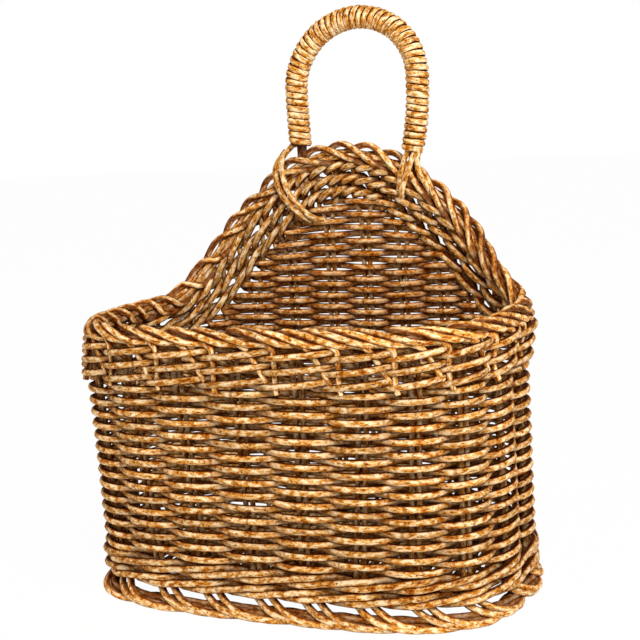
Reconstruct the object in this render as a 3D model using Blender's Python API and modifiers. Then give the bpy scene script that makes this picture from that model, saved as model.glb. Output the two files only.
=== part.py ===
"""Wall basket woven from varnished rods, with a wound hoop handle.

The plan is a D with its flat side at the back.  The wall is drawn in the front and
side views by a distance along the plan and a height, so every woven band, channel
and rod takes its place from the same two numbers.
Front is -Y, the flat back is +Y, and the foot ring stands on Z = 0.
"""
from bisect import bisect_right
from math import cos, hypot, pi, sin

import bmesh
import bpy
from mathutils import Vector

# Driving sizes, in metres
BASKET_WIDTH = 0.299
BASKET_DEPTH = 0.187
BACK_CORNER_RADIUS = 0.075
FRONT_LEAN = 0.016
RIM_HEIGHT = 0.193
ARCH_RISE = 0.105
ARCH_REACH = 0.170
WALL_THICKNESS = 0.0102
CLEARANCE = 0.0003
BAND_GAP = 0.0008
ROD_DIAMETER = 0.0032

# Exponent of the front outline: 2 is an ellipse, more is squarer
FRONT_SQUARENESS = 3.45
# Height of the arch as a share of its rise, by share of its reach from the middle
ARCH_SHARES = ((0.0, 1.0), (0.2, 0.94), (0.34, 0.81), (0.56, 0.5), (0.72, 0.22), (0.86, 0.06), (1.0, 0.0))

# Foot ring, bottom wale and base
FOOT_GAP_TOP = 0.0163
FOOT_RING_HEIGHT = 0.0075
FOOT_RING_WIDTH = 0.0080
FOOT_RING_INSET = 0.0030
# Section of the foot ring: places as shares of its half width and its height
FOOT_SECTION_SHARES = ((1.0, 0.25), (1.0, 0.75), (0.5, 1.0), (-0.5, 1.0),
                       (-1.0, 0.75), (-1.0, 0.25), (-0.5, 0.0), (0.5, 0.0))
BOTTOM_WALE_TOP = 0.0360
BOTTOM_WALE_PROUD = 0.0015
BASE_THICKNESS = 0.0094
BASE_LIFT = 0.0040
BASE_STICK_DIAMETER = 0.0044
BASE_STICK_SEAT = 0.0025
# Places of the base sticks as shares of the depth at the floor, from the back
BASE_STICK_SHARES = (0.27, 0.5, 0.73)

# Rim border and top wale
BORDER_HEIGHT = 0.0165
BORDER_WIDTH = 0.0160
BORDER_PROUD = 0.0045
TOP_WALE_HEIGHT = 0.0210
TOP_WALE_PROUD = 0.0045
TOP_WALE_INNER_PROUD = 0.0015
BACK_WEAVE_LEAST_HEIGHT = 0.0040

# Stakes go in pairs; each share is a place along the wall from the middle of the back
STAKE_PAIR_SHARES = (0.016, 0.049, 0.085, 0.115, 0.166, 0.219, 0.273, 0.326, 0.368, 0.410, 0.458,
                     0.505, 0.554, 0.600, 0.650, 0.700, 0.750, 0.801, 0.854, 0.907, 0.944, 0.982)

# Handle: its legs stand between stake pairs, at shares of the wall from the middle of the back
HOOP_LEFT_SHARE = -0.0395
HOOP_RIGHT_SHARE = 0.0723
HOOP_INSET = 0.0080
# Straight part of the left leg, and how far both ends of the winding stay above the border
HOOP_LEG_HEIGHT = 0.0418
WRAP_LEFT_LIFT = 0.0061
WRAP_RIGHT_LIFT = 0.0157
WRAP_DIAMETER = 0.0030
WRAP_RADIUS = 0.0062
WRAP_PITCH = 0.00463
WRAP_TURN_POINTS = 9
# Places of the four core rods across the bundle, in steps outwards and backwards
CORE_ROD_STEPS = ((-0.5, -0.5), (0.5, -0.5), (-0.5, 0.5), (0.5, 0.5))
HANDLE_SOCKET_DEPTH = 0.0450
HANDLE_TAIL_DROP = 0.0090
HANDLE_TAIL_BEND = 0.0040
HANDLE_TAIL_SEAT = 0.0042
HANDLE_TAIL_SLANT = 0.0100
# Share of the slant that a tail has made by the middle of the border
HANDLE_TAIL_SLANT_SHARE = 0.25

# Fineness of the solids
WALL_COLUMNS = 96
BORDER_SIDES = 8
HOOP_STEPS = 14
BEND_STEPS = 4
PLAN_SAMPLES = 240
CUT_OVERRUN = 0.0050
SLOPE_STEP = 0.0010
MERGE_DISTANCE = 0.00003
MILLIMETRE = 0.001
HALVING_STEPS = 50

# Sizes worked out from the driving sizes
HALF_WIDTH = BASKET_WIDTH / 2
BACK_Y = BASKET_DEPTH / 2
CORNER_Y = BACK_Y - BACK_CORNER_RADIUS
FRONT_DEPTH = BASKET_DEPTH - BACK_CORNER_RADIUS
ROD_RADIUS = ROD_DIAMETER / 2
PAIR_STEP = ROD_DIAMETER + CLEARANCE
SLOT_HALF_LENGTH = PAIR_STEP / 2 + ROD_RADIUS + CLEARANCE
SLOT_HALF_DEPTH = ROD_RADIUS + CLEARANCE
WALL_MIDDLE = -WALL_THICKNESS / 2
BORDER_MIDDLE = BORDER_PROUD - BORDER_WIDTH / 2
TOP_WALE_START = BORDER_HEIGHT + BAND_GAP
TOP_WALE_END = TOP_WALE_START + TOP_WALE_HEIGHT
BACK_WEAVE_START = TOP_WALE_END + BAND_GAP
SIDE_WEAVE_TOP = RIM_HEIGHT - BACK_WEAVE_START
SIDE_WEAVE_BOTTOM = BOTTOM_WALE_TOP + CLEARANCE
BASE_BOTTOM = FOOT_GAP_TOP + BASE_LIFT

COLOURS = {
    "weaver": (0.58, 0.33, 0.11, 1.0),
    "stake": (0.62, 0.38, 0.15, 1.0),
    "border": (0.52, 0.28, 0.09, 1.0),
    "base": (0.50, 0.29, 0.11, 1.0),
    "handle_core": (0.45, 0.24, 0.08, 1.0),
    "handle_wrap": (0.66, 0.42, 0.17, 1.0),
}
ROD_ROUGHNESS = 0.35


def clear_scene():
    for item in list(bpy.data.objects):
        bpy.data.objects.remove(item, do_unlink=True)


def make_collection(name):
    collection = bpy.data.collections.new(name)
    bpy.context.scene.collection.children.link(collection)
    return collection


def rod_material(name, kind):
    """Varnished rod in the colour of its kind of piece."""
    material = bpy.data.materials.new(name + "_finish")
    material.use_nodes = True
    shader = material.node_tree.nodes["Principled BSDF"]
    shader.inputs["Base Color"].default_value = COLOURS[kind]
    shader.inputs["Roughness"].default_value = ROD_ROUGHNESS
    shader.inputs["Metallic"].default_value = 0.0
    return material


def half_plan():
    """Right half of the plan, middle of the back to middle of the front.

    Each entry is (x, y of the part that never leans, share of the leaning front depth).
    """
    flat = HALF_WIDTH - BACK_CORNER_RADIUS
    entries = [(0.0, BACK_Y, 0.0)]
    for step in range(PLAN_SAMPLES + 1):
        angle = pi / 2 * step / PLAN_SAMPLES
        x = flat + BACK_CORNER_RADIUS * sin(angle)
        entries.append((x, CORNER_Y + BACK_CORNER_RADIUS * cos(angle), 0.0))
    power = 2 / FRONT_SQUARENESS
    for step in range(1, PLAN_SAMPLES + 1):
        angle = pi / 2 * step / PLAN_SAMPLES
        x = HALF_WIDTH * max(cos(angle), 0.0) ** power
        entries.append((x, CORNER_Y, sin(angle) ** power))
    return entries


def front_depth(z):
    """Depth of the front part at a height: the front leans in towards the floor."""
    return FRONT_DEPTH - FRONT_LEAN * (RIM_HEIGHT - z) / RIM_HEIGHT


PLAN = half_plan()
PLAN_RUN = [0.0]
for before, after in zip(PLAN, PLAN[1:]):
    rise = (before[1] - before[2] * FRONT_DEPTH) - (after[1] - after[2] * FRONT_DEPTH)
    PLAN_RUN.append(PLAN_RUN[-1] + hypot(after[0] - before[0], rise))
HALF_RUN = PLAN_RUN[-1]
FULL_RUN = 2 * HALF_RUN


def plan_point(run, z):
    """Point of the wall's outer face at a distance along the rim from the middle of the back."""
    run = (run + HALF_RUN) % FULL_RUN - HALF_RUN
    side = 1.0 if run >= 0 else -1.0
    place = min(abs(run), HALF_RUN)
    i = min(max(bisect_right(PLAN_RUN, place) - 1, 0), len(PLAN) - 2)
    t = (place - PLAN_RUN[i]) / (PLAN_RUN[i + 1] - PLAN_RUN[i])
    x, y, share = (PLAN[i][k] + t * (PLAN[i + 1][k] - PLAN[i][k]) for k in range(3))
    return Vector((side * x, y - share * front_depth(z), z))


def plan_tangent(run, z):
    return (plan_point(run + SLOPE_STEP, z) - plan_point(run - SLOPE_STEP, z)).normalized()


def wall_point(run, z, out=0.0):
    """Point at a distance along the wall and a height, moved out of the outer face by out."""
    along = plan_tangent(run, z)
    return plan_point(run, z) + Vector((-along.y, along.x, 0.0)) * out


def arch_share(share):
    """Smooth curve through the arch's shares."""
    share = min(max(share, 0.0), 1.0)
    knots = ARCH_SHARES
    i = min(sum(1 for knot in knots[1:] if knot[0] <= share), len(knots) - 2)

    def slope(k):
        if k == 0 or k == len(knots) - 1:
            return 0.0
        return (knots[k + 1][1] - knots[k - 1][1]) / (knots[k + 1][0] - knots[k - 1][0])

    width = knots[i + 1][0] - knots[i][0]
    t = (share - knots[i][0]) / width
    start = (1 + 2 * t) * (1 - t) ** 2 * knots[i][1] + t * (1 - t) ** 2 * width * slope(i)
    end = t * t * (3 - 2 * t) * knots[i + 1][1] + t * t * (t - 1) * width * slope(i + 1)
    return start + end


def rim_height(run):
    run = (run + HALF_RUN) % FULL_RUN - HALF_RUN
    return RIM_HEIGHT + ARCH_RISE * arch_share(abs(run) / ARCH_REACH)


def rim_slope(run):
    return (rim_height(run + SLOPE_STEP) - rim_height(run - SLOPE_STEP)) / (2 * SLOPE_STEP)


def below_rim(run, drop):
    """Place on the wall, as run and height, that lies square to the rim and drop below it."""
    slope = rim_slope(run)
    length = hypot(1.0, slope)
    return run + drop * slope / length, rim_height(run) - drop / length


def height_below_rim(run, drop):
    """Height at a run of the line that follows the rim a drop below it."""
    low, high = run - 2 * drop, run + 2 * drop
    for _ in range(HALVING_STEPS):
        middle = (low + high) / 2
        if below_rim(middle, drop)[0] < run:
            low = middle
        else:
            high = middle
    return below_rim((low + high) / 2, drop)[1]


def wall_runs(count=WALL_COLUMNS):
    return [FULL_RUN * k / count - HALF_RUN for k in range(count)]


def link_object(name, data, collection, kind=None):
    item = bpy.data.objects.new(name, data)
    collection.objects.link(item)
    if kind:
        data.materials.append(rod_material(name, kind))
    return item


def loft(name, rows, collection, kind, ring=True, closed_section=False):
    """Surface through rows of points with unlike outlines, faces outwards."""
    mesh = bpy.data.meshes.new(name)
    shape = bmesh.new()
    grid = [[shape.verts.new(point) for point in row] for row in rows]
    height, width = len(grid), len(grid[0])
    for i in range(height if closed_section else height - 1):
        for j in range(width if ring else width - 1):
            right = (j + 1) % width
            above = (i + 1) % height
            shape.faces.new((grid[i][j], grid[above][j], grid[above][right], grid[i][right]))
    shape.to_mesh(mesh)
    shape.free()
    mesh.shade_smooth()
    return link_object(name, mesh, collection, kind)


def thicken(item, thickness):
    solid = item.modifiers.new("Wall", "SOLIDIFY")
    solid.thickness = thickness
    solid.offset = -1.0
    solid.use_even_offset = True
    solid.use_rim = True


def cut(item, cutter):
    boolean = item.modifiers.new("Cut_" + cutter.name, "BOOLEAN")
    boolean.operation = "DIFFERENCE"
    boolean.object = cutter


def tube(name, points, diameter, collection, kind, resolution=1):
    curve = bpy.data.curves.new(name, "CURVE")
    curve.dimensions = "3D"
    curve.bevel_depth = diameter / 2
    curve.bevel_resolution = resolution
    curve.use_fill_caps = True
    spline = curve.splines.new("POLY")
    spline.points.add(len(points) - 1)
    for slot, point in zip(spline.points, points):
        slot.co = (point[0], point[1], point[2], 1.0)
    return link_object(name, curve, collection, kind)


def hide_cutter(item):
    item.hide_render = True
    item.display_type = "WIRE"


def stake_top(run):
    """Stakes end on the middle line of the rim border."""
    return height_below_rim(run, BORDER_HEIGHT / 2)


def make_stake_slots(collection):
    """Channels for the stake pairs, from below the bottom wale into the rim border."""
    shape = bmesh.new()
    for share in STAKE_PAIR_SHARES:
        run = share * FULL_RUN
        low = FOOT_GAP_TOP - CUT_OVERRUN
        high = stake_top(run) + CLEARANCE
        for corner in bmesh.ops.create_cube(shape, size=2.0)["verts"]:
            z = high if corner.co.z > 0 else low
            along = plan_tangent(run, z) * corner.co.x * SLOT_HALF_LENGTH
            across = WALL_MIDDLE + corner.co.y * SLOT_HALF_DEPTH
            corner.co = wall_point(run, z, across) + along
    mesh = bpy.data.meshes.new("stake_slots")
    shape.to_mesh(mesh)
    shape.free()
    item = link_object("stake_slots", mesh, collection)
    hide_cutter(item)
    return item


def make_box_cutter(name, centre, half, collection):
    bpy.ops.mesh.primitive_cube_add(size=2.0, location=centre)
    item = bpy.context.object
    item.name = name
    for corner in item.data.vertices:
        corner.co = Vector(corner.co[k] * half[k] for k in range(3))
    for old in list(item.users_collection):
        old.objects.unlink(item)
    collection.objects.link(item)
    hide_cutter(item)
    return item


def make_wall_band(name, low, high, proud, inner_proud, collection, kind):
    """Woven band between two levels, all the way round."""
    inside = -WALL_THICKNESS - inner_proud
    section = ((low, proud), (high, proud), (high, inside), (low, inside))
    rows = [[wall_point(run, z, out) for run in wall_runs()] for z, out in section]
    return loft(name, rows, collection, kind, closed_section=True)


def make_back_weave(collection):
    """Short rows behind, between the side weave and the climbing top wale."""
    low = SIDE_WEAVE_TOP + CLEARANCE
    edge = []
    for run in wall_runs():
        place, z = below_rim(run, BACK_WEAVE_START)
        if z - low >= BACK_WEAVE_LEAST_HEIGHT:
            edge.append((place, z))
    rows = [[wall_point(place, low) for place, _ in edge]]
    rows.append([wall_point(place, z) for place, z in edge])
    item = loft("back_weave", rows, collection, "weaver", ring=False)
    thicken(item, WALL_THICKNESS)
    return item


def make_top_wale(collection):
    """Proud band of waling that follows the rim, just under the border."""
    inside = -WALL_THICKNESS - TOP_WALE_INNER_PROUD
    middle = (TOP_WALE_START + TOP_WALE_END) / 2
    section = ((TOP_WALE_END, TOP_WALE_PROUD), (middle, TOP_WALE_PROUD), (TOP_WALE_START, TOP_WALE_PROUD),
               (TOP_WALE_START, inside), (middle, inside), (TOP_WALE_END, inside))
    rows = []
    for drop, out in section:
        row = []
        for run in wall_runs():
            place, z = below_rim(run, drop)
            row.append(wall_point(place, z, out))
        rows.append(row)
    return loft("top_wale", rows, collection, "weaver", closed_section=True)


def make_rim_border(collection):
    """Rounded border round the mouth, drawn as its section carried along the rim."""
    rows = []
    for side in range(BORDER_SIDES):
        angle = 2 * pi * (side + 0.5) / BORDER_SIDES
        drop = BORDER_HEIGHT / 2 * (1 - sin(angle) / cos(pi / BORDER_SIDES))
        out = BORDER_MIDDLE + BORDER_WIDTH / 2 * cos(angle) / cos(pi / BORDER_SIDES)
        row = []
        for run in wall_runs():
            place, z = below_rim(run, drop)
            row.append(wall_point(place, z, out))
        rows.append(row)
    return loft("rim_border", rows, collection, "border", closed_section=True)


def make_foot_border(collection):
    """Ring that the basket stands on, flat below and above."""
    rows = []
    for out_share, height_share in FOOT_SECTION_SHARES:
        out = FOOT_RING_WIDTH / 2 * out_share - FOOT_RING_INSET
        lift = Vector((0.0, 0.0, FOOT_RING_HEIGHT * height_share))
        rows.append([wall_point(run, 0.0, out) + lift for run in wall_runs()])
    return loft("foot_border", rows, collection, "border", closed_section=True)


def make_base_weave(collection):
    """Woven base: a flat D that fits inside the bottom wale."""
    curve = bpy.data.curves.new("base_outline", "CURVE")
    curve.dimensions = "2D"
    curve.fill_mode = "BOTH"
    curve.extrude = BASE_THICKNESS / 2
    spline = curve.splines.new("POLY")
    inset = -(WALL_THICKNESS + CLEARANCE)
    outline = [wall_point(run, BASE_BOTTOM, inset) for run in wall_runs()]
    spline.points.add(len(outline) - 1)
    for slot, point in zip(spline.points, outline):
        slot.co = (point.x, point.y, 0.0, 1.0)
    spline.use_cyclic_u = True
    drawn = link_object("base_outline", curve, collection)
    drawn.location.z = BASE_BOTTOM + BASE_THICKNESS / 2
    bpy.context.view_layer.update()
    graph = bpy.context.evaluated_depsgraph_get()
    mesh = bpy.data.meshes.new_from_object(drawn.evaluated_get(graph))
    shape = bmesh.new()
    shape.from_mesh(mesh)
    bmesh.ops.remove_doubles(shape, verts=shape.verts, dist=MERGE_DISTANCE)
    shape.to_mesh(mesh)
    shape.free()
    mesh.name = "base_weave"
    item = link_object("base_weave", mesh, collection, "base")
    item.matrix_world = drawn.matrix_world
    bpy.data.objects.remove(drawn, do_unlink=True)
    return item


def inner_half_width(y, z, inset):
    """Half width of the outline at a depth and height, inset from the outer face."""
    low, high = 0.0, HALF_RUN
    for _ in range(HALVING_STEPS):
        middle = (low + high) / 2
        if wall_point(middle, z, -inset).y > y:
            low = middle
        else:
            high = middle
    return wall_point((low + high) / 2, z, -inset).x


def make_base_sticks(collection, cutters):
    """Long sticks through the base, their ends seated in the bottom wale."""
    z = BASE_BOTTOM + BASE_THICKNESS / 2
    floor_depth = BACK_Y - CORNER_Y + front_depth(z)
    half_slot = BASE_STICK_DIAMETER / 2 + CLEARANCE
    slots = []
    for number, share in enumerate(BASE_STICK_SHARES, 1):
        y = BACK_Y - share * floor_depth
        reach = inner_half_width(y, z, WALL_THICKNESS) + BASE_STICK_SEAT
        ends = [(-reach, y, z), (reach, y, z)]
        tube("base_stick_%d" % number, ends, BASE_STICK_DIAMETER, collection, "base", 2)
        half = (reach + CLEARANCE, half_slot, half_slot)
        slots.append(make_box_cutter("base_stick_slot_%d" % number, (0.0, y, z), half, cutters))
    return slots


def make_stakes(collection):
    """Pairs of upright stakes, from the foot ring through the wall into the border."""
    low = FOOT_RING_HEIGHT + CLEARANCE
    for number, share in enumerate(STAKE_PAIR_SHARES, 1):
        run = share * FULL_RUN
        high = stake_top(run)
        for name, side in (("stake", -0.5), ("by_stake", 0.5)):
            points = []
            for z in (high, FOOT_GAP_TOP, low):
                aside = plan_tangent(run, z) * side * PAIR_STEP
                points.append(wall_point(run, z, WALL_MIDDLE) + aside)
            points[2].x = points[1].x
            points[2].y = points[1].y
            tube("%s_%02d" % (name, number), points, ROD_DIAMETER, collection, "stake")


HOOP_LEFT_RUN = HOOP_LEFT_SHARE * FULL_RUN
HOOP_RIGHT_RUN = HOOP_RIGHT_SHARE * FULL_RUN
HOOP_LEFT_X = plan_point(HOOP_LEFT_RUN, RIM_HEIGHT).x
HOOP_RIGHT_X = plan_point(HOOP_RIGHT_RUN, RIM_HEIGHT).x
HOOP_RADIUS = (HOOP_RIGHT_X - HOOP_LEFT_X) / 2
HOOP_MIDDLE_X = (HOOP_RIGHT_X + HOOP_LEFT_X) / 2
HOOP_LEFT_END = rim_height(HOOP_LEFT_RUN) + WRAP_LEFT_LIFT
HOOP_RIGHT_END = rim_height(HOOP_RIGHT_RUN) + WRAP_RIGHT_LIFT
HOOP_SPRING = HOOP_LEFT_END + HOOP_LEG_HEIGHT
HOOP_Y = BACK_Y - HOOP_INSET


def hoop_centre(side):
    return HOOP_LEFT_X if side < 0 else HOOP_RIGHT_X


def hoop_rim(side):
    """Height of the rim where a leg of the hoop crosses it."""
    return rim_height(HOOP_LEFT_RUN if side < 0 else HOOP_RIGHT_RUN)


def hoop_frame(distance):
    """Point of the hoop's middle line and its outward direction, from the left wrap end."""
    bow = pi * HOOP_RADIUS
    if distance < HOOP_LEG_HEIGHT:
        return Vector((hoop_centre(-1), HOOP_Y, HOOP_LEFT_END + distance)), Vector((-1.0, 0.0, 0.0))
    if distance > HOOP_LEG_HEIGHT + bow:
        z = HOOP_SPRING - (distance - HOOP_LEG_HEIGHT - bow)
        return Vector((hoop_centre(1), HOOP_Y, z)), Vector((1.0, 0.0, 0.0))
    angle = (distance - HOOP_LEG_HEIGHT) / HOOP_RADIUS
    outward = Vector((-cos(angle), 0.0, sin(angle)))
    return Vector((HOOP_MIDDLE_X, HOOP_Y, HOOP_SPRING)) + outward * HOOP_RADIUS, outward


HOOP_LENGTH = HOOP_LEG_HEIGHT + pi * HOOP_RADIUS + HOOP_SPRING - HOOP_RIGHT_END


def tail_depth():
    """Height of the sockets where the front core rods turn into the back weave."""
    sides = (hoop_centre(-1), hoop_centre(1) - HANDLE_TAIL_SLANT)
    return [height_below_rim(x, BACK_WEAVE_START) - HANDLE_TAIL_DROP for x in sides]


def front_tail(side, across):
    """Front core rod from its socket in the back weave up to the wrap, inside the border."""
    face = BACK_Y - WALL_THICKNESS
    wale_face = face - TOP_WALE_INNER_PROUD - ROD_RADIUS - CLEARANCE
    slant = HANDLE_TAIL_SLANT if side > 0 else 0.0
    top_x = hoop_centre(side) + across
    x = top_x - slant
    z = tail_depth()[0 if side < 0 else 1]
    points = [Vector((x, face + HANDLE_TAIL_SEAT, z))]
    for step in range(BEND_STEPS + 1):
        angle = pi / 2 * step / BEND_STEPS
        y = wale_face + HANDLE_TAIL_BEND * (1 - sin(angle))
        points.append(Vector((x, y, z + HANDLE_TAIL_BEND * (1 - cos(angle)))))
    rim = hoop_rim(side)
    border_x = top_x - slant * HANDLE_TAIL_SLANT_SHARE
    points.append(Vector((border_x, wale_face, rim - BORDER_HEIGHT / 2)))
    points.append(Vector((top_x, wale_face, rim)))
    return points


def rear_tail(side, across):
    """Rear core rod, pushed down through the border beside the stakes."""
    y = HOOP_Y + PAIR_STEP / 2
    return [Vector((hoop_centre(side) + across, y, hoop_rim(side) - HANDLE_SOCKET_DEPTH))]


def make_handle_rods(collection):
    """Four core rods, each in one length from one side of the back to the other."""
    bow = [HOOP_LEG_HEIGHT + pi * HOOP_RADIUS * step / HOOP_STEPS for step in range(HOOP_STEPS + 1)]
    for number, (outward_step, back_step) in enumerate(CORE_ROD_STEPS, 1):
        tail = front_tail if back_step < 0 else rear_tail
        points = tail(-1, -outward_step * PAIR_STEP)
        for distance in [0.0] + bow + [HOOP_LENGTH]:
            centre, outward = hoop_frame(distance)
            back = Vector((0.0, back_step * PAIR_STEP, 0.0))
            points.append(centre + outward * outward_step * PAIR_STEP + back)
        points += reversed(tail(1, outward_step * PAIR_STEP))
        tube("handle_rod_%d" % number, points, ROD_DIAMETER, collection, "handle_core")


def make_handle_slots(cutters):
    """Sockets for the rear core rods and for the turned-in front ones."""
    slots = []
    for name, side in (("left", -1), ("right", 1)):
        x = hoop_centre(side)
        top = hoop_rim(side) + CUT_OVERRUN
        bottom = hoop_rim(side) - HANDLE_SOCKET_DEPTH - CLEARANCE
        centre = (x, HOOP_Y + PAIR_STEP / 2, (top + bottom) / 2)
        half = (SLOT_HALF_LENGTH, SLOT_HALF_DEPTH, (top - bottom) / 2)
        slots.append(make_box_cutter("handle_slot_" + name, centre, half, cutters))
    for name, side, z in zip(("left", "right"), (-1, 1), tail_depth()):
        slant = HANDLE_TAIL_SLANT if side > 0 else 0.0
        face = BACK_Y - WALL_THICKNESS
        half_depth = (HANDLE_TAIL_SEAT + CLEARANCE + CUT_OVERRUN) / 2
        centre = (hoop_centre(side) - slant, face - CUT_OVERRUN + half_depth, z)
        half = (SLOT_HALF_LENGTH, half_depth, SLOT_HALF_DEPTH)
        slots.append(make_box_cutter("handle_socket_" + name, centre, half, cutters))
    return slots


def make_handle_wrap(collection):
    """One strand wound round the core rods from leg to leg."""
    centres = []
    steps = round(HOOP_LENGTH / WRAP_PITCH) * WRAP_TURN_POINTS
    for step in range(steps + 1):
        centre, outward = hoop_frame(HOOP_LENGTH * step / steps)
        angle = 2 * pi * step / WRAP_TURN_POINTS
        spoke = outward * cos(angle) + Vector((0.0, 1.0, 0.0)) * sin(angle)
        centres.append(centre + spoke * WRAP_RADIUS)
    first = (centres[0] - centres[1]).normalized() * WRAP_DIAMETER
    last = (centres[-1] - centres[-2]).normalized() * WRAP_DIAMETER
    points = [centres[0] + first] + centres + [centres[-1] + last]
    least = min((points[i] - points[j]).length
                for i in range(len(points))
                for j in range(i + WRAP_TURN_POINTS - 2, min(i + 2 * WRAP_TURN_POINTS, len(points))))
    print("handle wrap least gap to itself, mm:", round((least - WRAP_DIAMETER) / MILLIMETRE, 2))
    tube("handle_wrap", points, WRAP_DIAMETER, collection, "handle_wrap")


def main():
    clear_scene()
    parts = make_collection("hanging_basket")
    cutters = make_collection("basket_cutters")
    stake_slots = make_stake_slots(cutters)
    handle_slots = make_handle_slots(cutters)

    make_foot_border(parts)
    bottom_wale = make_wall_band("bottom_wale", FOOT_GAP_TOP, BOTTOM_WALE_TOP,
                                 BOTTOM_WALE_PROUD, 0.0, parts, "weaver")
    side_weave = make_wall_band("side_weave", SIDE_WEAVE_BOTTOM, SIDE_WEAVE_TOP,
                                0.0, 0.0, parts, "weaver")
    back_weave = make_back_weave(parts)
    top_wale = make_top_wale(parts)
    rim_border = make_rim_border(parts)
    for slot in handle_slots[:2]:
        cut(rim_border, slot)
        cut(top_wale, slot)
        cut(back_weave, slot)
    for slot in handle_slots[2:]:
        cut(back_weave, slot)
    for band in (bottom_wale, side_weave, back_weave, top_wale, rim_border):
        cut(band, stake_slots)

    base_weave = make_base_weave(parts)
    for slot in make_base_sticks(parts, cutters):
        cut(base_weave, slot)
        cut(bottom_wale, slot)

    make_stakes(parts)
    make_handle_rods(parts)
    make_handle_wrap(parts)


main()
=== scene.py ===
"""Wall basket of varnished rattan rods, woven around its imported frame.

The wall is drawn by three numbers: the distance along it from the middle of the back,
the height, and how far a rod stands out of the wall's outer face.  Python works out the
middle line of each rod, and one Geometry Nodes tree turns the lines into rods.
Front is -Y, the flat back is +Y, and the foot stands on Z = 0.
"""

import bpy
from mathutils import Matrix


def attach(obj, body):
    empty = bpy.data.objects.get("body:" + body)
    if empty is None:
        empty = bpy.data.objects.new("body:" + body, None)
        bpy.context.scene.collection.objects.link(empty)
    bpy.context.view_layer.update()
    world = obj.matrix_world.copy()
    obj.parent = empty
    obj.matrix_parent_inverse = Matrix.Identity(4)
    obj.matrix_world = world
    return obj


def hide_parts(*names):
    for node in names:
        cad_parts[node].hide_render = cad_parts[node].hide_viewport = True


bl_info = {
    "name": "Woven Wall Basket",
    "version": (1, 0, 0),
    "blender": (4, 5, 0),
    "location": "View3D > Sidebar > Basket",
    "description": "Weaves a hanging basket from rods around its frame",
    "category": "Object",
}

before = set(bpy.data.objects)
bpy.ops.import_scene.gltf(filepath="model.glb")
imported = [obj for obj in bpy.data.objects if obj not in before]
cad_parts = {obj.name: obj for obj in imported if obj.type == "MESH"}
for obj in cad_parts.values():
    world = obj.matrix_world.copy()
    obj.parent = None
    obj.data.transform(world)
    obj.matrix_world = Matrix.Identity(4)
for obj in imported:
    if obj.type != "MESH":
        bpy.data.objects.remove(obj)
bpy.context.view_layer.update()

from bisect import bisect_right
from math import cos, hypot, pi, radians, sin
from random import Random

import bpy
from bpy.props import FloatProperty, FloatVectorProperty, IntProperty, PointerProperty
from mathutils import Matrix, Vector, noise

# Sizes of the frame, in metres, as the frame's own source has them
BASKET_WIDTH = 0.299
BASKET_DEPTH = 0.187
BACK_CORNER_RADIUS = 0.075
FRONT_LEAN = 0.016
RIM_HEIGHT = 0.193
ARCH_RISE = 0.105
ARCH_REACH = 0.170
WALL_THICKNESS = 0.0102
FRONT_SQUARENESS = 3.45
ARCH_SHARES = ((0.0, 1.0), (0.2, 0.94), (0.34, 0.81), (0.56, 0.5),
               (0.72, 0.22), (0.86, 0.06), (1.0, 0.0))
BOTTOM_WALE_TOP = 0.0360
BASE_BOTTOM = 0.0203
BASE_THICKNESS = 0.0094
BASE_STICK_DIAMETER = 0.0044
BASE_STICK_SHARES = (0.27, 0.5, 0.73)
BORDER_HEIGHT = 0.0165
BACK_WEAVE_DROP = 0.0391
SIDE_WEAVE_TOP = 0.1539
STAKE_PAIR_SHARES = (0.016, 0.049, 0.085, 0.115, 0.166, 0.219, 0.273, 0.326, 0.368, 0.410, 0.458,
                     0.505, 0.554, 0.600, 0.650, 0.700, 0.750, 0.801, 0.854, 0.907, 0.944, 0.982)
HOOP_LEFT_SHARE = -0.0395
HOOP_RIGHT_SHARE = 0.0723
HOOP_INSET = 0.0080
HOOP_LEG_HEIGHT = 0.0418
WRAP_LEFT_LIFT = 0.0061
WRAP_RIGHT_LIFT = 0.0157
WRAP_PITCH = 0.00463

# How far each stake pair leans along the wall between floor and rim, as shares of the wall
STAKE_LEAN_SHARES = (0.0, 0.0, 0.0, 0.0, 0.0, 0.0, 0.0014, -0.0070, -0.0100, -0.0132, -0.0076,
                     0.0, 0.0034, 0.0065, 0.004, 0.0, 0.0, 0.0, 0.0, 0.0, 0.0, 0.0)
# Pairs whose two stakes stand apart in the raised back, so the waling goes round each one,
# with the places of the two along the wall from the pair's middle
SPREAD_PAIRS = {0: (-0.0070, 0.0070), 1: (-0.0070, 0.0070), 2: (-0.0070, 0.0070),
                3: (-0.0070, 0.0075), 4: (-0.0068, 0.0068), 18: (-0.0099, 0.0036),
                19: (-0.0073, 0.0072), 20: (-0.0070, 0.0070), 21: (-0.0070, 0.0070)}
# Single stakes put in on the two slopes, as shares of the wall
EXTRA_STAKE_SHARES = (-0.1741, -0.1256, 0.1406)
PAIR_COUNT = len(STAKE_PAIR_SHARES)

# The border sits a little to the right of the wall, in front and at the sides: up to a height,
# and down to a drop below the rim, with the length over which the shift fades out at each
RIM_SHIFT = 0.0040
RIM_SHIFT_END = 0.207
RIM_SHIFT_BLEND = 0.014
RIM_SHIFT_DROP = 0.032
RIM_SHIFT_FADE = 0.02
# On the slopes of the arch it sits a little to the left, most at one height
RIM_SLOPE_SHIFT = -0.0036
RIM_SLOPE_HEIGHT = 0.219
RIM_SLOPE_SPAN = 0.024
# Share of a shift on the left that the right side has
RIGHT_SHARE = 0.4
# Length of run over which the arch's way of working gives way to the front's
ARCH_BLEND = 0.03

PLAN_SAMPLES = 240
SLOPE_STEP = 0.001
HALVING_STEPS = 40

HALF_WIDTH = BASKET_WIDTH / 2
BACK_Y = BASKET_DEPTH / 2
CORNER_Y = BACK_Y - BACK_CORNER_RADIUS
FRONT_DEPTH = BASKET_DEPTH - BACK_CORNER_RADIUS
WALL_MIDDLE = -WALL_THICKNESS / 2


def clamp(value):
    return min(max(value, 0.0), 1.0)


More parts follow.
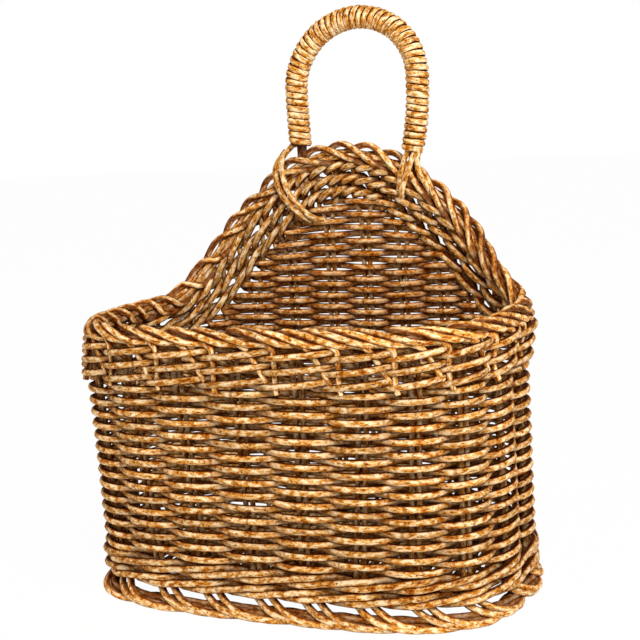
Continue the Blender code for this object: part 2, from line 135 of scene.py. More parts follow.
def halve(low, high, before):
    """Closes in on the place where a test stops being true, and gives both sides of it."""
    for _ in range(HALVING_STEPS):
        middle = (low + high) / 2
        if before(middle):
            low = middle
        else:
            high = middle
    return low, high


# ---- the wall ----

def half_plan():
    """Right half of the plan: x, the y that never leans, the share of the leaning depth."""
    flat = HALF_WIDTH - BACK_CORNER_RADIUS
    entries = [(0.0, BACK_Y, 0.0)]
    for step in range(PLAN_SAMPLES + 1):
        angle = pi / 2 * step / PLAN_SAMPLES
        entries.append((flat + BACK_CORNER_RADIUS * sin(angle),
                        CORNER_Y + BACK_CORNER_RADIUS * cos(angle), 0.0))
    power = 2 / FRONT_SQUARENESS
    for step in range(1, PLAN_SAMPLES + 1):
        angle = pi / 2 * step / PLAN_SAMPLES
        entries.append((HALF_WIDTH * max(cos(angle), 0.0) ** power, CORNER_Y, sin(angle) ** power))
    return entries


PLAN = half_plan()
PLAN_RUN = [0.0]
for before, after in zip(PLAN, PLAN[1:]):
    rise = (before[1] - before[2] * FRONT_DEPTH) - (after[1] - after[2] * FRONT_DEPTH)
    PLAN_RUN.append(PLAN_RUN[-1] + hypot(after[0] - before[0], rise))
HALF_RUN = PLAN_RUN[-1]
FULL_RUN = 2 * HALF_RUN


def plan_point(run, z):
    """Point of the wall's outer face, at a run from the middle of the back."""
    run = (run + HALF_RUN) % FULL_RUN - HALF_RUN
    side = 1.0 if run >= 0 else -1.0
    place = min(abs(run), HALF_RUN)
    i = min(max(bisect_right(PLAN_RUN, place) - 1, 0), len(PLAN) - 2)
    t = (place - PLAN_RUN[i]) / (PLAN_RUN[i + 1] - PLAN_RUN[i])
    x, y, share = (PLAN[i][k] + t * (PLAN[i + 1][k] - PLAN[i][k]) for k in range(3))
    depth = FRONT_DEPTH - FRONT_LEAN * (RIM_HEIGHT - z) / RIM_HEIGHT
    return Vector((side * x, y - share * depth, z))


def wall_out(run, z):
    """Level direction out of the wall."""
    along = plan_point(run + SLOPE_STEP, z) - plan_point(run - SLOPE_STEP, z)
    return Vector((-along.y, along.x, 0.0)).normalized()


def wall_point(run, z, out=0.0):
    return plan_point(run, z) + wall_out(run, z) * out


def arch_share(share):
    """Smooth curve through the arch's shares."""
    share = clamp(share)
    knots = ARCH_SHARES
    i = min(sum(1 for knot in knots[1:] if knot[0] <= share), len(knots) - 2)

    def slope(k):
        if k == 0 or k == len(knots) - 1:
            return 0.0
        return (knots[k + 1][1] - knots[k - 1][1]) / (knots[k + 1][0] - knots[k - 1][0])

    width = knots[i + 1][0] - knots[i][0]
    t = (share - knots[i][0]) / width
    start = (1 + 2 * t) * (1 - t) ** 2 * knots[i][1] + t * (1 - t) ** 2 * width * slope(i)
    end = t * t * (3 - 2 * t) * knots[i + 1][1] + t * t * (t - 1) * width * slope(i + 1)
    return start + end


def from_back(run):
    """Distance along the wall to the middle of the back, whichever way is shorter."""
    return abs((run + HALF_RUN) % FULL_RUN - HALF_RUN)


def in_arch(run):
    """1 in the raised back and 0 in front."""
    return clamp((ARCH_REACH - from_back(run)) / ARCH_BLEND)


def rim_height(run):
    return RIM_HEIGHT + ARCH_RISE * arch_share(from_back(run) / ARCH_REACH)


def below_rim(run, drop):
    """Run and height of the place that lies square to the rim and drop below it."""
    slope = (rim_height(run + SLOPE_STEP) - rim_height(run - SLOPE_STEP)) / (2 * SLOPE_STEP)
    length = hypot(1.0, slope)
    return run + drop * slope / length, rim_height(run) - drop / length


def rim_point(run, drop, out):
    """Point at a drop below the rim, moved sideways where the border is."""
    place, z = below_rim(run, drop)
    point = wall_point(place, z, out)
    near_top = clamp((RIM_SHIFT_DROP - drop) / RIM_SHIFT_FADE)
    low = clamp((RIM_SHIFT_END - z) / RIM_SHIFT_BLEND)
    slope = max(1 - abs(z - RIM_SLOPE_HEIGHT) / RIM_SLOPE_SPAN, 0.0)
    slope_shift = RIM_SLOPE_SHIFT * slope * (1.0 if place < 0 else RIGHT_SHARE)
    point.x += (RIM_SHIFT * low + slope_shift) * near_top
    return point


def rim_lengths():
    """Length along the rim at every millimetre or so of run, once round from the middle of the front."""
    count = round(FULL_RUN / SLOPE_STEP)
    lengths = [0.0]
    for step in range(count):
        start, end = (FULL_RUN * k / count - HALF_RUN for k in (step, step + 1))
        lengths.append(lengths[-1] + hypot(end - start, rim_height(end) - rim_height(start)))
    return lengths


RIM_LENGTHS = rim_lengths()
RIM_LENGTH = RIM_LENGTHS[-1]


def length_at(run):
    """Length along the rim at a run."""
    lap, place = divmod(run + HALF_RUN, FULL_RUN)
    number = place / FULL_RUN * (len(RIM_LENGTHS) - 1)
    i = min(int(number), len(RIM_LENGTHS) - 2)
    step = RIM_LENGTHS[i + 1] - RIM_LENGTHS[i]
    return lap * RIM_LENGTH + RIM_LENGTHS[i] + (number - i) * step


def run_at(length):
    """The other way round: the run at a length along the rim."""
    lap, rest = divmod(length, RIM_LENGTH)
    i = min(bisect_right(RIM_LENGTHS, rest) - 1, len(RIM_LENGTHS) - 2)
    t = (rest - RIM_LENGTHS[i]) / (RIM_LENGTHS[i + 1] - RIM_LENGTHS[i])
    return FULL_RUN * (lap + (i + t) / (len(RIM_LENGTHS) - 1)) - HALF_RUN


def height_below_rim(run, drop):
    """Height at a run of the line that follows the rim a drop below it."""
    low, high = halve(run - 2 * drop, run + 2 * drop, lambda place: below_rim(place, drop)[0] < run)
    return below_rim((low + high) / 2, drop)[1]


# ---- stakes and how the weavers pass them ----

# Height at which no pair leans, and the height that its lean is given for
LEAN_MIDDLE = 0.095
LEAN_SPAN = 0.100
BETWEEN_POWER = 1.8
# Lengths along the wall and up it over which hand-laid rods drift together
DRIFT_RUN = 0.045
DRIFT_RISE = 0.014


def pair_run(index, z):
    """Distance along the wall of a stake pair at a height; indices run on round the basket."""
    lap, k = divmod(index, PAIR_COUNT)
    lean = (min(max(z, 0.0), SIDE_WEAVE_TOP) - LEAN_MIDDLE) / LEAN_SPAN
    return FULL_RUN * (lap + STAKE_PAIR_SHARES[k] + STAKE_LEAN_SHARES[k] * lean)


def pair_place(count, z):
    """Distance along the wall of a fractional number of stake pairs."""
    index = int(count // 1)
    t = count - index
    return pair_run(index, z) * (1 - t) + pair_run(index + 1, z) * t


def pair_count(run, z):
    """The other way round: how many stake pairs lie before a distance."""
    index = 0
    while pair_run(index + 1, z) <= run:
        index += 1
    while pair_run(index, z) > run:
        index -= 1
    start, end = pair_run(index, z), pair_run(index + 1, z)
    return index + (run - start) / (end - start)


def over_under(count, stiffness=0.5):
    """1 outside a pair and -1 inside the next, with longer strokes for a stiffer rod."""
    c = cos(pi * count)
    return c * (1 + stiffness - stiffness * c * c)


def pressed(side, share):
    """Girth of a rod where it squeezes past its neighbours, halfway between two pairs."""
    return 1.0 - share * (1 - abs(side))


def between(side):
    """1 where a rod lies halfway between outside and inside, and 0 on its stroke."""
    return (1 - abs(side)) ** BETWEEN_POWER


def drift(run, z, layer, size):
    """Small shift of a hand-laid rod; neighbours in one layer of the noise drift together."""
    return size * noise.noise(Vector((run / DRIFT_RUN, z / DRIFT_RISE, layer)))


# ---- rods ----

# Least and most girth of a rod as shares of its size, and how far the stain's pattern is moved, in metres
ROD_GIRTHS = (0.97, 1.03)
PATTERN_SPREAD = 4.0


class RodPaths:
    """Middle lines of the rods of one piece, with what each rod looks like."""

    def __init__(self, name, seed):
        self.name = name
        self.random = Random(seed)
        self.points, self.edges, self.outs = [], [], []
        self.numbers = {"rod_radius": [], "rod_along": [], "rod_tone": [], "rod_shade": []}

    def add(self, points, diameter, shades=None, outs=None, girths=None):
        """One rod: shades gives each point's painted shade, from 0 to 1, more the deeper it lies in
        the weave; outs is the way out of the weave there, and girths how pressed the rod is."""
        thick = diameter / 2 * self.random.uniform(*ROD_GIRTHS)
        tone = self.random.random()
        along = self.random.uniform(0.0, PATTERN_SPREAD)
        first = len(self.points)
        for i, point in enumerate(points):
            if i:
                along += (point - points[i - 1]).length
                self.edges.append((first + i - 1, first + i))
            self.points.append(point)
            self.outs.append(outs[i] if outs else (0.0, 0.0, 1.0))
            values = (thick * (girths[i] if girths else 1.0), along, tone, shades[i] if shades else 0.0)
            for numbers, value in zip(self.numbers.values(), values):
                numbers.append(value)

    def guide(self):
        """Object that holds the middle lines as loose edges."""
        mesh = bpy.data.meshes.new(self.name + "_lines")
        mesh.from_pydata(self.points, self.edges, [])
        for name, values in self.numbers.items():
            mesh.attributes.new(name, "FLOAT", "POINT").data.foreach_set("value", values)
        flat = [number for vector in self.outs for number in vector]
        mesh.attributes.new("rod_out", "FLOAT_VECTOR", "POINT").data.foreach_set("vector", flat)
        item = bpy.data.objects.new(self.name, mesh)
        bpy.context.scene.collection.objects.link(item)
        return item


def smooth_line(knots, steps):
    """Smooth curve through knots, as points; knots may hold any number of values each."""
    ends = [[2 * a - b for a, b in zip(knots[0], knots[1])]] + [list(k) for k in knots]
    ends.append([2 * a - b for a, b in zip(knots[-1], knots[-2])])
    line = []
    for i in range(1, len(ends) - 2):
        p0, p1, p2, p3 = ends[i - 1:i + 3]
        for step in range(steps):
            t = step / steps
            line.append([0.5 * (2 * b + (c - a) * t + (2 * a - 5 * b + 4 * c - d) * t * t
                                + (3 * b - a - 3 * c + d) * t ** 3) for a, b, c, d in zip(p0, p1, p2, p3)])
    line.append(list(knots[-1]))
    return line


def add_node(tree, kind, inputs=None, **settings):
    """Node of a kind with its settings; each input is a value, or a socket to link."""
    node = tree.nodes.new(kind)
    for name, value in settings.items():
        setattr(node, name, value)
    for key, value in (inputs or {}).items():
        if isinstance(value, bpy.types.NodeSocket):
            tree.links.new(value, node.inputs[key])
        else:
            node.inputs[key].default_value = value
    return node


ROD_SETTINGS = (("Sides", "Int", 8), ("Flatness", "Float", 1.0), ("Unevenness", "Float", 0.0002),
                ("Lump Length", "Float", 0.012), ("Seed", "Float", 0.0), ("Finish", "Material", None))


def rod_tree(name, flattened):
    """Geometry Nodes tree that turns lines into rods, round or pressed flat against what they go round."""
    tree = bpy.data.node_groups.new(name, "GeometryNodeTree")
    sockets = tree.interface
    sockets.new_socket("Geometry", in_out="INPUT", socket_type="NodeSocketGeometry")
    for label, kind, value in ROD_SETTINGS:
        socket = sockets.new_socket(label, in_out="INPUT", socket_type="NodeSocket" + kind)
        if value is not None:
            socket.default_value = value
    sockets.new_socket("Geometry", in_out="OUTPUT", socket_type="NodeSocketGeometry")
    given = add_node(tree, "NodeGroupInput").outputs

    def shape(kind, inputs=None, **settings):
        return add_node(tree, "GeometryNode" + kind, inputs, **settings).outputs[0]

    def stored(label, kind="FLOAT"):
        return shape("InputNamedAttribute", {"Name": label}, data_type=kind)

    def keep(geometry, label, value, kind="FLOAT_VECTOR"):
        return shape("StoreNamedAttribute", {"Geometry": geometry, "Name": label, "Value": value},
                     data_type=kind, domain="POINT")

    def number(operation, a, b=0.0):
        return add_node(tree, "ShaderNodeMath", {0: a, 1: b}, operation=operation).outputs[0]

    def vector(x, y, z):
        return add_node(tree, "ShaderNodeCombineXYZ", {"X": x, "Y": y, "Z": z}).outputs[0]

    def scaled(value, factor):
        return add_node(tree, "ShaderNodeVectorMath", {0: value, "Scale": factor},
                        operation="SCALE").outputs[0]

    lines = shape("MeshToCurve", {"Mesh": given["Geometry"]})
    if flattened:
        outwards = stored("rod_out", "FLOAT_VECTOR")
        lines = shape("SetCurveNormal", {"Curve": lines, "Normal": outwards}, mode="FREE")
    ring = shape("CurvePrimitiveCircle", {"Resolution": given["Sides"], "Radius": 1.0}, mode="RADIUS")
    ring = keep(ring, "rod_ring", shape("InputPosition"))
    ring = shape("Transform", {"Geometry": ring, "Scale": vector(given["Flatness"], 1.0, 1.0)})
    rods = shape("CurveToMesh", {"Curve": lines, "Profile Curve": ring, "Scale": stored("rod_radius"),
                                 "Fill Caps": True})

    # Each point's place on its own straightened rod, in metres, for the pattern of the finish
    across = scaled(stored("rod_ring", "FLOAT_VECTOR"), stored("rod_radius"))
    parts = add_node(tree, "ShaderNodeSeparateXYZ", {0: across}).outputs
    rods = keep(rods, "grain", vector(parts[0], parts[1], stored("rod_along")))

    # How sideways each point faces: both sides of a rod lie against its neighbours, out of the light, and
    # the finish paints shade there
    facing = {0: shape("InputNormal"), 1: stored("rod_out", "FLOAT_VECTOR")}
    outward = add_node(tree, "ShaderNodeVectorMath", facing, operation="DOT_PRODUCT").outputs["Value"]
    sideways = number("SUBTRACT", 1.0, number("ABSOLUTE", outward))
    rods = keep(rods, "rod_contact_shade", sideways, "FLOAT")

    # Hand-picked rods swell and thin a little along their length
    scale = number("DIVIDE", 1.0, given["Lump Length"])
    lumps = add_node(tree, "ShaderNodeTexNoise",
                     {"Vector": stored("grain", "FLOAT_VECTOR"), "W": given["Seed"], "Scale": scale,
                      "Detail": 2.0}, noise_dimensions="4D").outputs[0]
    height = number("MULTIPLY", number("SUBTRACT", lumps, 0.5), given["Unevenness"])
    rods = shape("SetPosition", {"Geometry": rods, "Offset": scaled(shape("InputNormal"), height)})
    for label in ("rod_ring", "rod_radius", "rod_along", "rod_out"):
        rods = shape("RemoveAttribute", {"Geometry": rods, "Name": label})
    rods = shape("SetShadeSmooth", {"Geometry": rods})
    rods = shape("RealizeInstances", {"Geometry": rods})
    rods = shape("SetMaterial", {"Geometry": rods, "Material": given["Finish"]})
    add_node(tree, "NodeGroupOutput", {"Geometry": rods})
    return tree


def make_rods(paths, finish, nodes, sides=8, flatness=1.0, uneven=None):
    """Turns the lines into one plain mesh with a named finish, in place of its CAD nodes."""
    sizes = bpy.context.scene.basket_rods
    flattened = flatness != 1.0
    label = "Flat strands along paths" if flattened else "Rods along paths"
    tree = bpy.data.node_groups.get(label) or rod_tree(label, flattened)
    guide = paths.guide()
    modifier = guide.modifiers.new("Rods", "NODES")
    modifier.node_group = tree
    values = {"Sides": sides, "Flatness": flatness, "Lump Length": sizes.lump_length,
              "Unevenness": sizes.unevenness if uneven is None else uneven,
              "Seed": float(sizes.seed), "Finish": finish_named(finish)}
    for socket in tree.interface.items_tree:
        if socket.in_out == "INPUT" and socket.name in values:
            modifier[socket.identifier] = values[socket.name]
    graph = bpy.context.evaluated_depsgraph_get()
    mesh = bpy.data.meshes.new_from_object(guide.evaluated_get(graph))
    if not mesh.polygons:
        raise RuntimeError(paths.name + " came out empty")
    lines = guide.data
    guide.modifiers.clear()
    guide.data = mesh
    bpy.data.meshes.remove(lines)
    mesh.name = paths.name
    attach(guide, "root")
    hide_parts(*nodes)
    return guide


# ---- finishes ----

def linear(hex_colour):
    """sRGB hex to the linear colour that Blender's sockets take."""
    values = [int(hex_colour[i:i + 2], 16) / 255 for i in (1, 3, 5)]
    return tuple(v / 12.92 if v <= 0.04045 else ((v + 0.055) / 1.055) ** 2.4 for v in values) + (1.0,)


# Brightness of each finish, how strongly it paints shade where a rod lies against its neighbours, and, for
# the raised back's weavers, a painted warm shade over the whole finish
FINISHES = {
    "rattan_weaver_varnished": {"brightness": 0.90, "contact_shade": 0.95},
    "rattan_back_weaver_varnished": {"brightness": 0.97, "contact_shade": 0.95, "interior_shade": 0.35},
    "rattan_border_varnished": {"brightness": 1.04, "contact_shade": 0.62},
    "rattan_stake_varnished": {"brightness": 0.85},
    "rattan_base_varnished": {"brightness": 0.90},
    "rattan_handle_core_varnished": {"brightness": 0.98, "coat": 0.12},
    "rattan_strand_varnished": {"brightness": 0.98, "contact_shade": 1.0, "coat": 0.12},
}

# Each noise on a rod: its stretch across and along, its size in millimetres, detail and roughness
STAIN_NOISE = ((1.0, 1.0, 0.5), 2.6, 2.0, 0.6)
FLECK_NOISE = ((1.0, 1.0, 0.6), 1.0, 2.0, 0.7)
NODE_NOISE = ((0.12, 0.12, 1.0), 6.5, 0.0, 0.55)
# Where each colour sets in, where it is full, and how strong it is then
HONEY_RAMP = (0.30, 0.46, 1.0)
STRAW_RAMP = (0.42, 0.66, 1.0)
RUST_RAMP = (0.53, 0.64, 0.78)
SPECK_RAMP = (0.64, 0.72, 0.70)
NODE_RAMP = (0.67, 0.76, 0.55)
# The next two paint shade: along the sides of a rod, and where it lies against its neighbours
EDGE_SHADE_RAMP = (0.14, 0.56, 0.62)
CONTACT_SHADE_RAMP = (0.34, 0.72)
# How much more a pale stain is worn, the lightest and darkest rod, and the painted shade in the crevices
# between rods
STAIN_WEAR = 0.35
TONE_SPREAD = 0.30
TONE_LEAST = 0.90
PAINTED_SHADE_SHARE = 0.90
PAINTED_SHADE_DEPTH = 0.95
CONTRAST = 1.14
BUMP_STRENGTH = 0.6
BUMP_DISTANCE = 0.0003
ROUGHNESS_SPREAD = 0.3
ROUGHNESS_LEAST = 0.28
VARNISH_IOR = 1.5
ROD_SPECULAR = 0.05
COAT_ROUGHNESS = 0.2


def rattan_finish(name, brightness=1.0, contact_shade=0.0, coat=0.05, interior_shade=0.0):
    """Rattan core rod, stained honey and brush varnished: mottled stain, dark nodes, a soft gloss, and
    painted shade deep in the weave and where rods lie against their neighbours.

    The bark is scraped off, so the stain sinks in unevenly and shows flecks about a millimetre wide.
    """
    colours = bpy.context.scene.basket_finish
    straw, honey, amber, rust_and_shade, dark = (tuple(getattr(colours, label)) for label in
                                       ("straw", "honey", "amber", "rust_and_shade", "speck_and_shade"))
    material = bpy.data.materials.new(name)
    material.use_nodes = True
    tree = material.node_tree
    tree.nodes.clear()

    def math(operation, a, b=0.0):
        return add_node(tree, "ShaderNodeMath", {0: a, 1: b}, operation=operation).outputs[0]

    def blend(factor, a, b, kind="MIX"):
        return add_node(tree, "ShaderNodeMix", {"Factor": factor, 6: a, 7: b},
                        data_type="RGBA", blend_type=kind).outputs[2]

    def ramp(value, low, high, share):
        rise = add_node(tree, "ShaderNodeMapRange", {"Value": value, "From Min": low, "From Max": high},
                        interpolation_type="SMOOTHSTEP").outputs[0]
        return math("MULTIPLY", rise, share)

    def attribute(label, output):
        return add_node(tree, "ShaderNodeAttribute", attribute_name=label).outputs[output]

    def cloud(stretch, millimetres, detail, rough):
        place = add_node(tree, "ShaderNodeMapping",
                         {"Vector": attribute("grain", "Vector"), "Scale": stretch}).outputs[0]
        return add_node(tree, "ShaderNodeTexNoise", {"Vector": place, "Scale": 1000.0 / millimetres,
                                                     "Detail": detail, "Roughness": rough}).outputs[0]

    stain, flecks, nodes = cloud(*STAIN_NOISE), cloud(*FLECK_NOISE), cloud(*NODE_NOISE)
    colour = blend(ramp(stain, *HONEY_RAMP), amber, honey)
    colour = blend(ramp(stain, *STRAW_RAMP), colour, straw)
    worn = math("ADD", flecks, math("MULTIPLY", math("SUBTRACT", 0.5, stain), STAIN_WEAR))
    colour = blend(ramp(worn, *RUST_RAMP), colour, rust_and_shade)
    colour = blend(ramp(worn, *SPECK_RAMP), colour, dark)
    colour = blend(ramp(nodes, *NODE_RAMP), colour, rust_and_shade)
    tone = math("ADD", math("MULTIPLY", attribute("rod_tone", "Fac"), TONE_SPREAD), TONE_LEAST)
    colour = add_node(tree, "ShaderNodeHueSaturation",
                      {"Color": colour, "Value": math("MULTIPLY", tone, brightness)}).outputs[0]
    # Painted warm shade over the whole finish, for the raised back's rods that lie in the shade inside the
    # basket
    if interior_shade:
        colour = blend(interior_shade, colour, honey, "MULTIPLY")
    # Painted shade deep in the weave, from the rods' shade attribute
    painted_shade = math("MULTIPLY", attribute("rod_shade", "Fac"), PAINTED_SHADE_SHARE)
    # Painted shade on the sides of the rod, tinted with honey, and darker where it lies against its
    # neighbours
    if contact_shade:
        side = attribute("rod_contact_shade", "Fac")
        colour = blend(ramp(side, *EDGE_SHADE_RAMP), colour, honey, "MULTIPLY")
        painted_shade = math("MAXIMUM", painted_shade, ramp(side, *CONTACT_SHADE_RAMP, contact_shade))
    # Painted shade: the colour is multiplied by rust, then darkened towards the dark brown where the shade
    # is deepest
    colour = blend(painted_shade, colour, rust_and_shade, "MULTIPLY")
    colour = blend(math("MULTIPLY", math("MULTIPLY", painted_shade, painted_shade), PAINTED_SHADE_DEPTH), colour, dark)
    colour = add_node(tree, "ShaderNodeGamma", {"Color": colour, "Gamma": CONTRAST}).outputs[0]

    bump = add_node(tree, "ShaderNodeBump", {"Strength": BUMP_STRENGTH, "Distance": BUMP_DISTANCE,
                                             "Height": flecks}).outputs[0]
    rough = math("ADD", math("MULTIPLY", flecks, ROUGHNESS_SPREAD), ROUGHNESS_LEAST)
    shader = add_node(tree, "ShaderNodeBsdfPrincipled", {
        "Base Color": colour, "Roughness": rough, "Normal": bump, "IOR": VARNISH_IOR,
        "Specular IOR Level": ROD_SPECULAR, "Coat Weight": coat, "Coat Roughness": COAT_ROUGHNESS,
        "Coat IOR": VARNISH_IOR}).outputs[0]
    add_node(tree, "ShaderNodeOutputMaterial", {"Surface": shader})
    return material


def finish_named(name):
    return bpy.data.materials.get(name) or rattan_finish(name, **FINISHES[name])


# ---- what a user may change ----

def rod_size(label, meaning, default):
    return FloatProperty(name=label, description=meaning, default=default, unit="LENGTH", precision=4)


class BasketRods(bpy.types.PropertyGroup):
    """Rod sizes."""
    weaver: rod_size("Side weaver", "Diameter of the rods of the side weave", 0.0049)
    back_weaver: rod_size("Back weaver", "Diameter of the rods of the raised back", 0.0046)
    stake: rod_size("Stake", "Diameter of the upright stakes", 0.0036)
    wale: rod_size("Waling rod", "Diameter of the rods of both wales", 0.0050)
    border: rod_size("Border rod", "Diameter of the rods rolled round the rim", 0.0047)
    foot: rod_size("Foot rod", "Diameter of the rods of the open foot", 0.0049)
    strand: rod_size("Handle strand", "Width of the strand wound round the handle", 0.0043)
    unevenness: rod_size("Unevenness", "How much a rod swells and thins", 0.0005)
    lump_length: rod_size("Lump length", "Length of one swelling", 0.009)
    seed: IntProperty(name="Seed", description="Picks other rods of the same kind", default=7, min=0)


def colour_choice(label, hex_colour, what="stained rod"):
    return FloatVectorProperty(name=label, description="%s of the %s" % (label, what), subtype="COLOR",
                               size=4, default=linear(hex_colour), min=0.0, max=1.0)


class BasketFinish(bpy.types.PropertyGroup):
    """Colours of the stained and varnished rods, and the tints of their painted shade."""
    straw: colour_choice("Straw light", "#F6E1BA")
    honey: colour_choice("Honey", "#D39C46")
    amber: colour_choice("Amber", "#AE6416")
    # Rust of the flecks and nodes, also the tint of the painted shade
    rust_and_shade: colour_choice("Rust fleck", "#7E3C08")
    # Dark brown of the specks, also the darkest painted shade in the crevices between rods
    speck_and_shade: colour_choice("Crevice brown", "#3A1200")


class BasketStage(bpy.types.PropertyGroup):
    """Floor, lamps and camera."""
    floor_width: FloatProperty(name="Floor width", description="Width of the floor", default=12.0,
                               unit="LENGTH")
    floor_colour: colour_choice("Colour", "#FAFAFA", "floor")
    floor_clear: FloatProperty(name="Floor clearness", description="How far the floor melts into the white",
                               default=0.98, min=0.0, max=1.0, subtype="FACTOR")
    sky: FloatProperty(name="Soft light", description="Strength of the light from all round",
                       default=0.30, min=0.0)
    key: FloatProperty(name="Key lamp", description="Power of the main lamp", default=42.0, min=0.0,
                       unit="POWER")
    fill: FloatProperty(name="Fill lamp", description="Power of the second lamp", default=7.0, min=0.0,
                        unit="POWER")
    lens: FloatProperty(name="Lens", description="Focal length on a 36 mm sensor", default=82.75, min=1.0)


# ---- pieces ----

SIDE_ROWS = 28
ROW_STEPS = 10
# Pairs at which a row may start, how far its two ends stay apart, in pairs, and how far it bites
FIRST_PAIRS = (15, 21)
ROW_END_GAP = 0.03
SIDE_BITE = 0.0001
SIDE_SHADE = 0.35
SIDE_PRESS = 0.07
WEAVER_STIFFNESS = 0.35
# Layer of the drift's noise, and the size of the drift
SIDE_DRIFT = (1.5, 0.0005)
BACK_DRIFT = (4.5, 0.0007)
BOTTOM_WALE_DRIFT = (12.5, 0.0004)


def rows_of_side_weave():
    """Rows of plain weave, each one rod once round the basket."""
    sizes = bpy.context.scene.basket_rods
    paths = RodPaths("side_weave_rods", 11)
    reach = (sizes.stake + sizes.weaver) / 2 - SIDE_BITE
    pitch = (SIDE_WEAVE_TOP - BOTTOM_WALE_TOP) / SIDE_ROWS
    total = PAIR_COUNT * ROW_STEPS
    for row in range(SIDE_ROWS):
        height = BOTTOM_WALE_TOP + pitch * (row + 0.5)
        start = paths.random.randrange(*FIRST_PAIRS)
        start += (start + row + 1) % 2
        points, shades, outs, girths = [], [], [], []
        for step in range(total + 1):
            count = start + ROW_END_GAP + (PAIR_COUNT - 2 * ROW_END_GAP) * step / total
            run = pair_place(count, height)
            side = over_under(count + row, WEAVER_STIFFNESS)
            z = height + drift(run, height, *SIDE_DRIFT)
            points.append(wall_point(run, z, WALL_MIDDLE + reach * side))
            outs.append(tuple(wall_out(run, z)))
            # Painted shade where the rod passes between outside and inside, and on its inner half
            shades.append(SIDE_SHADE * between(side) + SIDE_SHADE * max(-side, 0.0))
            girths.append(pressed(side, SIDE_PRESS))
        paths.add(points, sizes.weaver, shades, outs, girths)
    return paths


BACK_ROWS = 24
BACK_BOWED_ROWS = 12
BACK_BOW_STEP = 0.0006
BACK_BOW_REACH = 0.056
# Rise of a row along the run to the right, from where on, and by which row it is full
BACK_RIGHT_RISE = 0.03
BACK_RISE_START = 0.02
BACK_RISE_ROWS = 4
BACK_STEP = 0.0032
BACK_MARGIN = -0.0012
BACK_SHADE = 0.6
BACK_PRESS = -0.02
# Turn of the weaver round an edge stake: its reach, its angles, and its height and depth as shares
BACK_TURN = 0.0022
TURN_ANGLES = (-0.9, -0.3, 0.3, 0.9)
TURN_RISE_SHARE = 0.8
TURN_DEPTH_SHARE = 0.7
TURN_SHADE = 0.5
TURN_GIRTH = 0.9


def back_row_height(row, run):
    """Height of a short row: the upper ones bow down towards their ends."""
    rise = height_below_rim(0.0, BACK_WEAVE_DROP) - SIDE_WEAVE_TOP
    pitch = (rise - BACK_BOWED_ROWS * BACK_BOW_STEP) / BACK_ROWS
    bowed = max(row - (BACK_ROWS - BACK_BOWED_ROWS), 0) + 0.5
    bow = min((run / BACK_BOW_REACH) ** 2, 1.0) * BACK_BOW_STEP * bowed
    rise_to_right = BACK_RIGHT_RISE * max(run - BACK_RISE_START, 0.0) * min(row / BACK_RISE_ROWS, 1.0)
    return SIDE_WEAVE_TOP + pitch * (row + 0.5) + BACK_BOW_STEP * bowed - bow + rise_to_right


def back_row_end(row, side):
    """Run where a short row meets the line of the waling."""
    def inside(run):
        return back_row_height(row, run) < height_below_rim(side * run, BACK_WEAVE_DROP) - BACK_MARGIN

    return side * halve(0.0, ARCH_REACH, inside)[0]


def rows_of_back_weave():
    """Short rows in one long weaver that turns back at both edges."""
    sizes = bpy.context.scene.basket_rods
    paths = RodPaths("back_weave_rods", 12)
    reach = (sizes.stake + sizes.back_weaver) / 2
    knots, shades, girths = [], [], []
    for row in range(BACK_ROWS):
        ends = (back_row_end(row, -1) + BACK_TURN, back_row_end(row, 1) - BACK_TURN)
        first, last = ends if row % 2 == 0 else ends[::-1]
        steps = max(int(abs(last - first) / BACK_STEP), 2)
        for step in range(steps + 1):
            run = first + (last - first) * step / steps
            z = back_row_height(row, run)
            side = over_under(pair_count(run, SIDE_WEAVE_TOP) + row, WEAVER_STIFFNESS)
            z += drift(run, z, *BACK_DRIFT)
            knots.append((run, z, WALL_MIDDLE + reach * side))
            shades.append(between(side) * BACK_SHADE)
            girths.append(pressed(side, BACK_PRESS))
        if row + 1 < BACK_ROWS:
            outwards = 1.0 if last > first else -1.0
            following = back_row_height(row + 1, last)
            middle, half = (z + following) / 2, (following - z) / 2
            for angle in TURN_ANGLES:
                turned = sin(angle) / sin(TURN_ANGLES[-1])
                knots.append((last + outwards * BACK_TURN * cos(angle),
                              middle + TURN_RISE_SHARE * half * turned,
                              WALL_MIDDLE - reach * side * turned * TURN_DEPTH_SHARE))
                shades.append(TURN_SHADE)
                girths.append(TURN_GIRTH)
    outs = [tuple(wall_out(run, z)) for run, z, out in knots]
    paths.add([wall_point(*knot) for knot in knots], sizes.back_weaver, shades, outs, girths)
    return paths


def rib_runs():
    """What the top wale goes round: pairs in front, single stakes in the raised back."""
    runs = [share % 1.0 * FULL_RUN for share in EXTRA_STAKE_SHARES]
    for k in range(PAIR_COUNT):
        middle = pair_run(k, SIDE_WEAVE_TOP)
        runs += [middle + offset for offset in SPREAD_PAIRS.get(k, (0.0,))]
    return sorted(runs)


TOP_WALE_DROPS = (0.0160, 0.0250, 0.0340)
RIB_STEPS = 10
# First rib of the rows, and how far on the next row and the second rod of a row start
TOP_WALE_START = 19
TOP_WALE_ROW_START = 2
TOP_WALE_ROD_START = 4
TOP_WALE_END_GAP = 0.05
TOP_WALE_BITE = 0.0004
# Room outside the stakes for the border's tails, and how far a twisted rod climbs
TAIL_ROOM = 0.0031
WALE_CLIMB = 0.0031
# Share of a half turn that shows, and how much longer the outer stroke is
WALE_SHOWN = 0.70
STROKE_POWER = 1.3
ARCH_WALE_REACH = 0.0042
TOP_WALE_LAYER = 7.5
TOP_WALE_DRIFT = 0.0007
TOP_WALE_PRESS = 0.12
ARCH_WALE_PRESS = 0.06
ARCH_WALE_GIRTH = 0.08
WALE_SHADE = 0.5


def twist_place(turn):
    """Half turn of a twisted rod, from -1 to 1 with 0 outside the rib: how far out, and how high.

    The outer stroke is long and straight; the rod slips back inside behind its neighbour.
    """
    place = (turn + 1) % 2 - 1
    far = abs(place)
    side = cos(pi * far ** STROKE_POWER)
    rise = far / WALE_SHOWN if far < WALE_SHOWN else (1 - far) / (1 - WALE_SHOWN)
    return side, rise if place > 0 else -rise


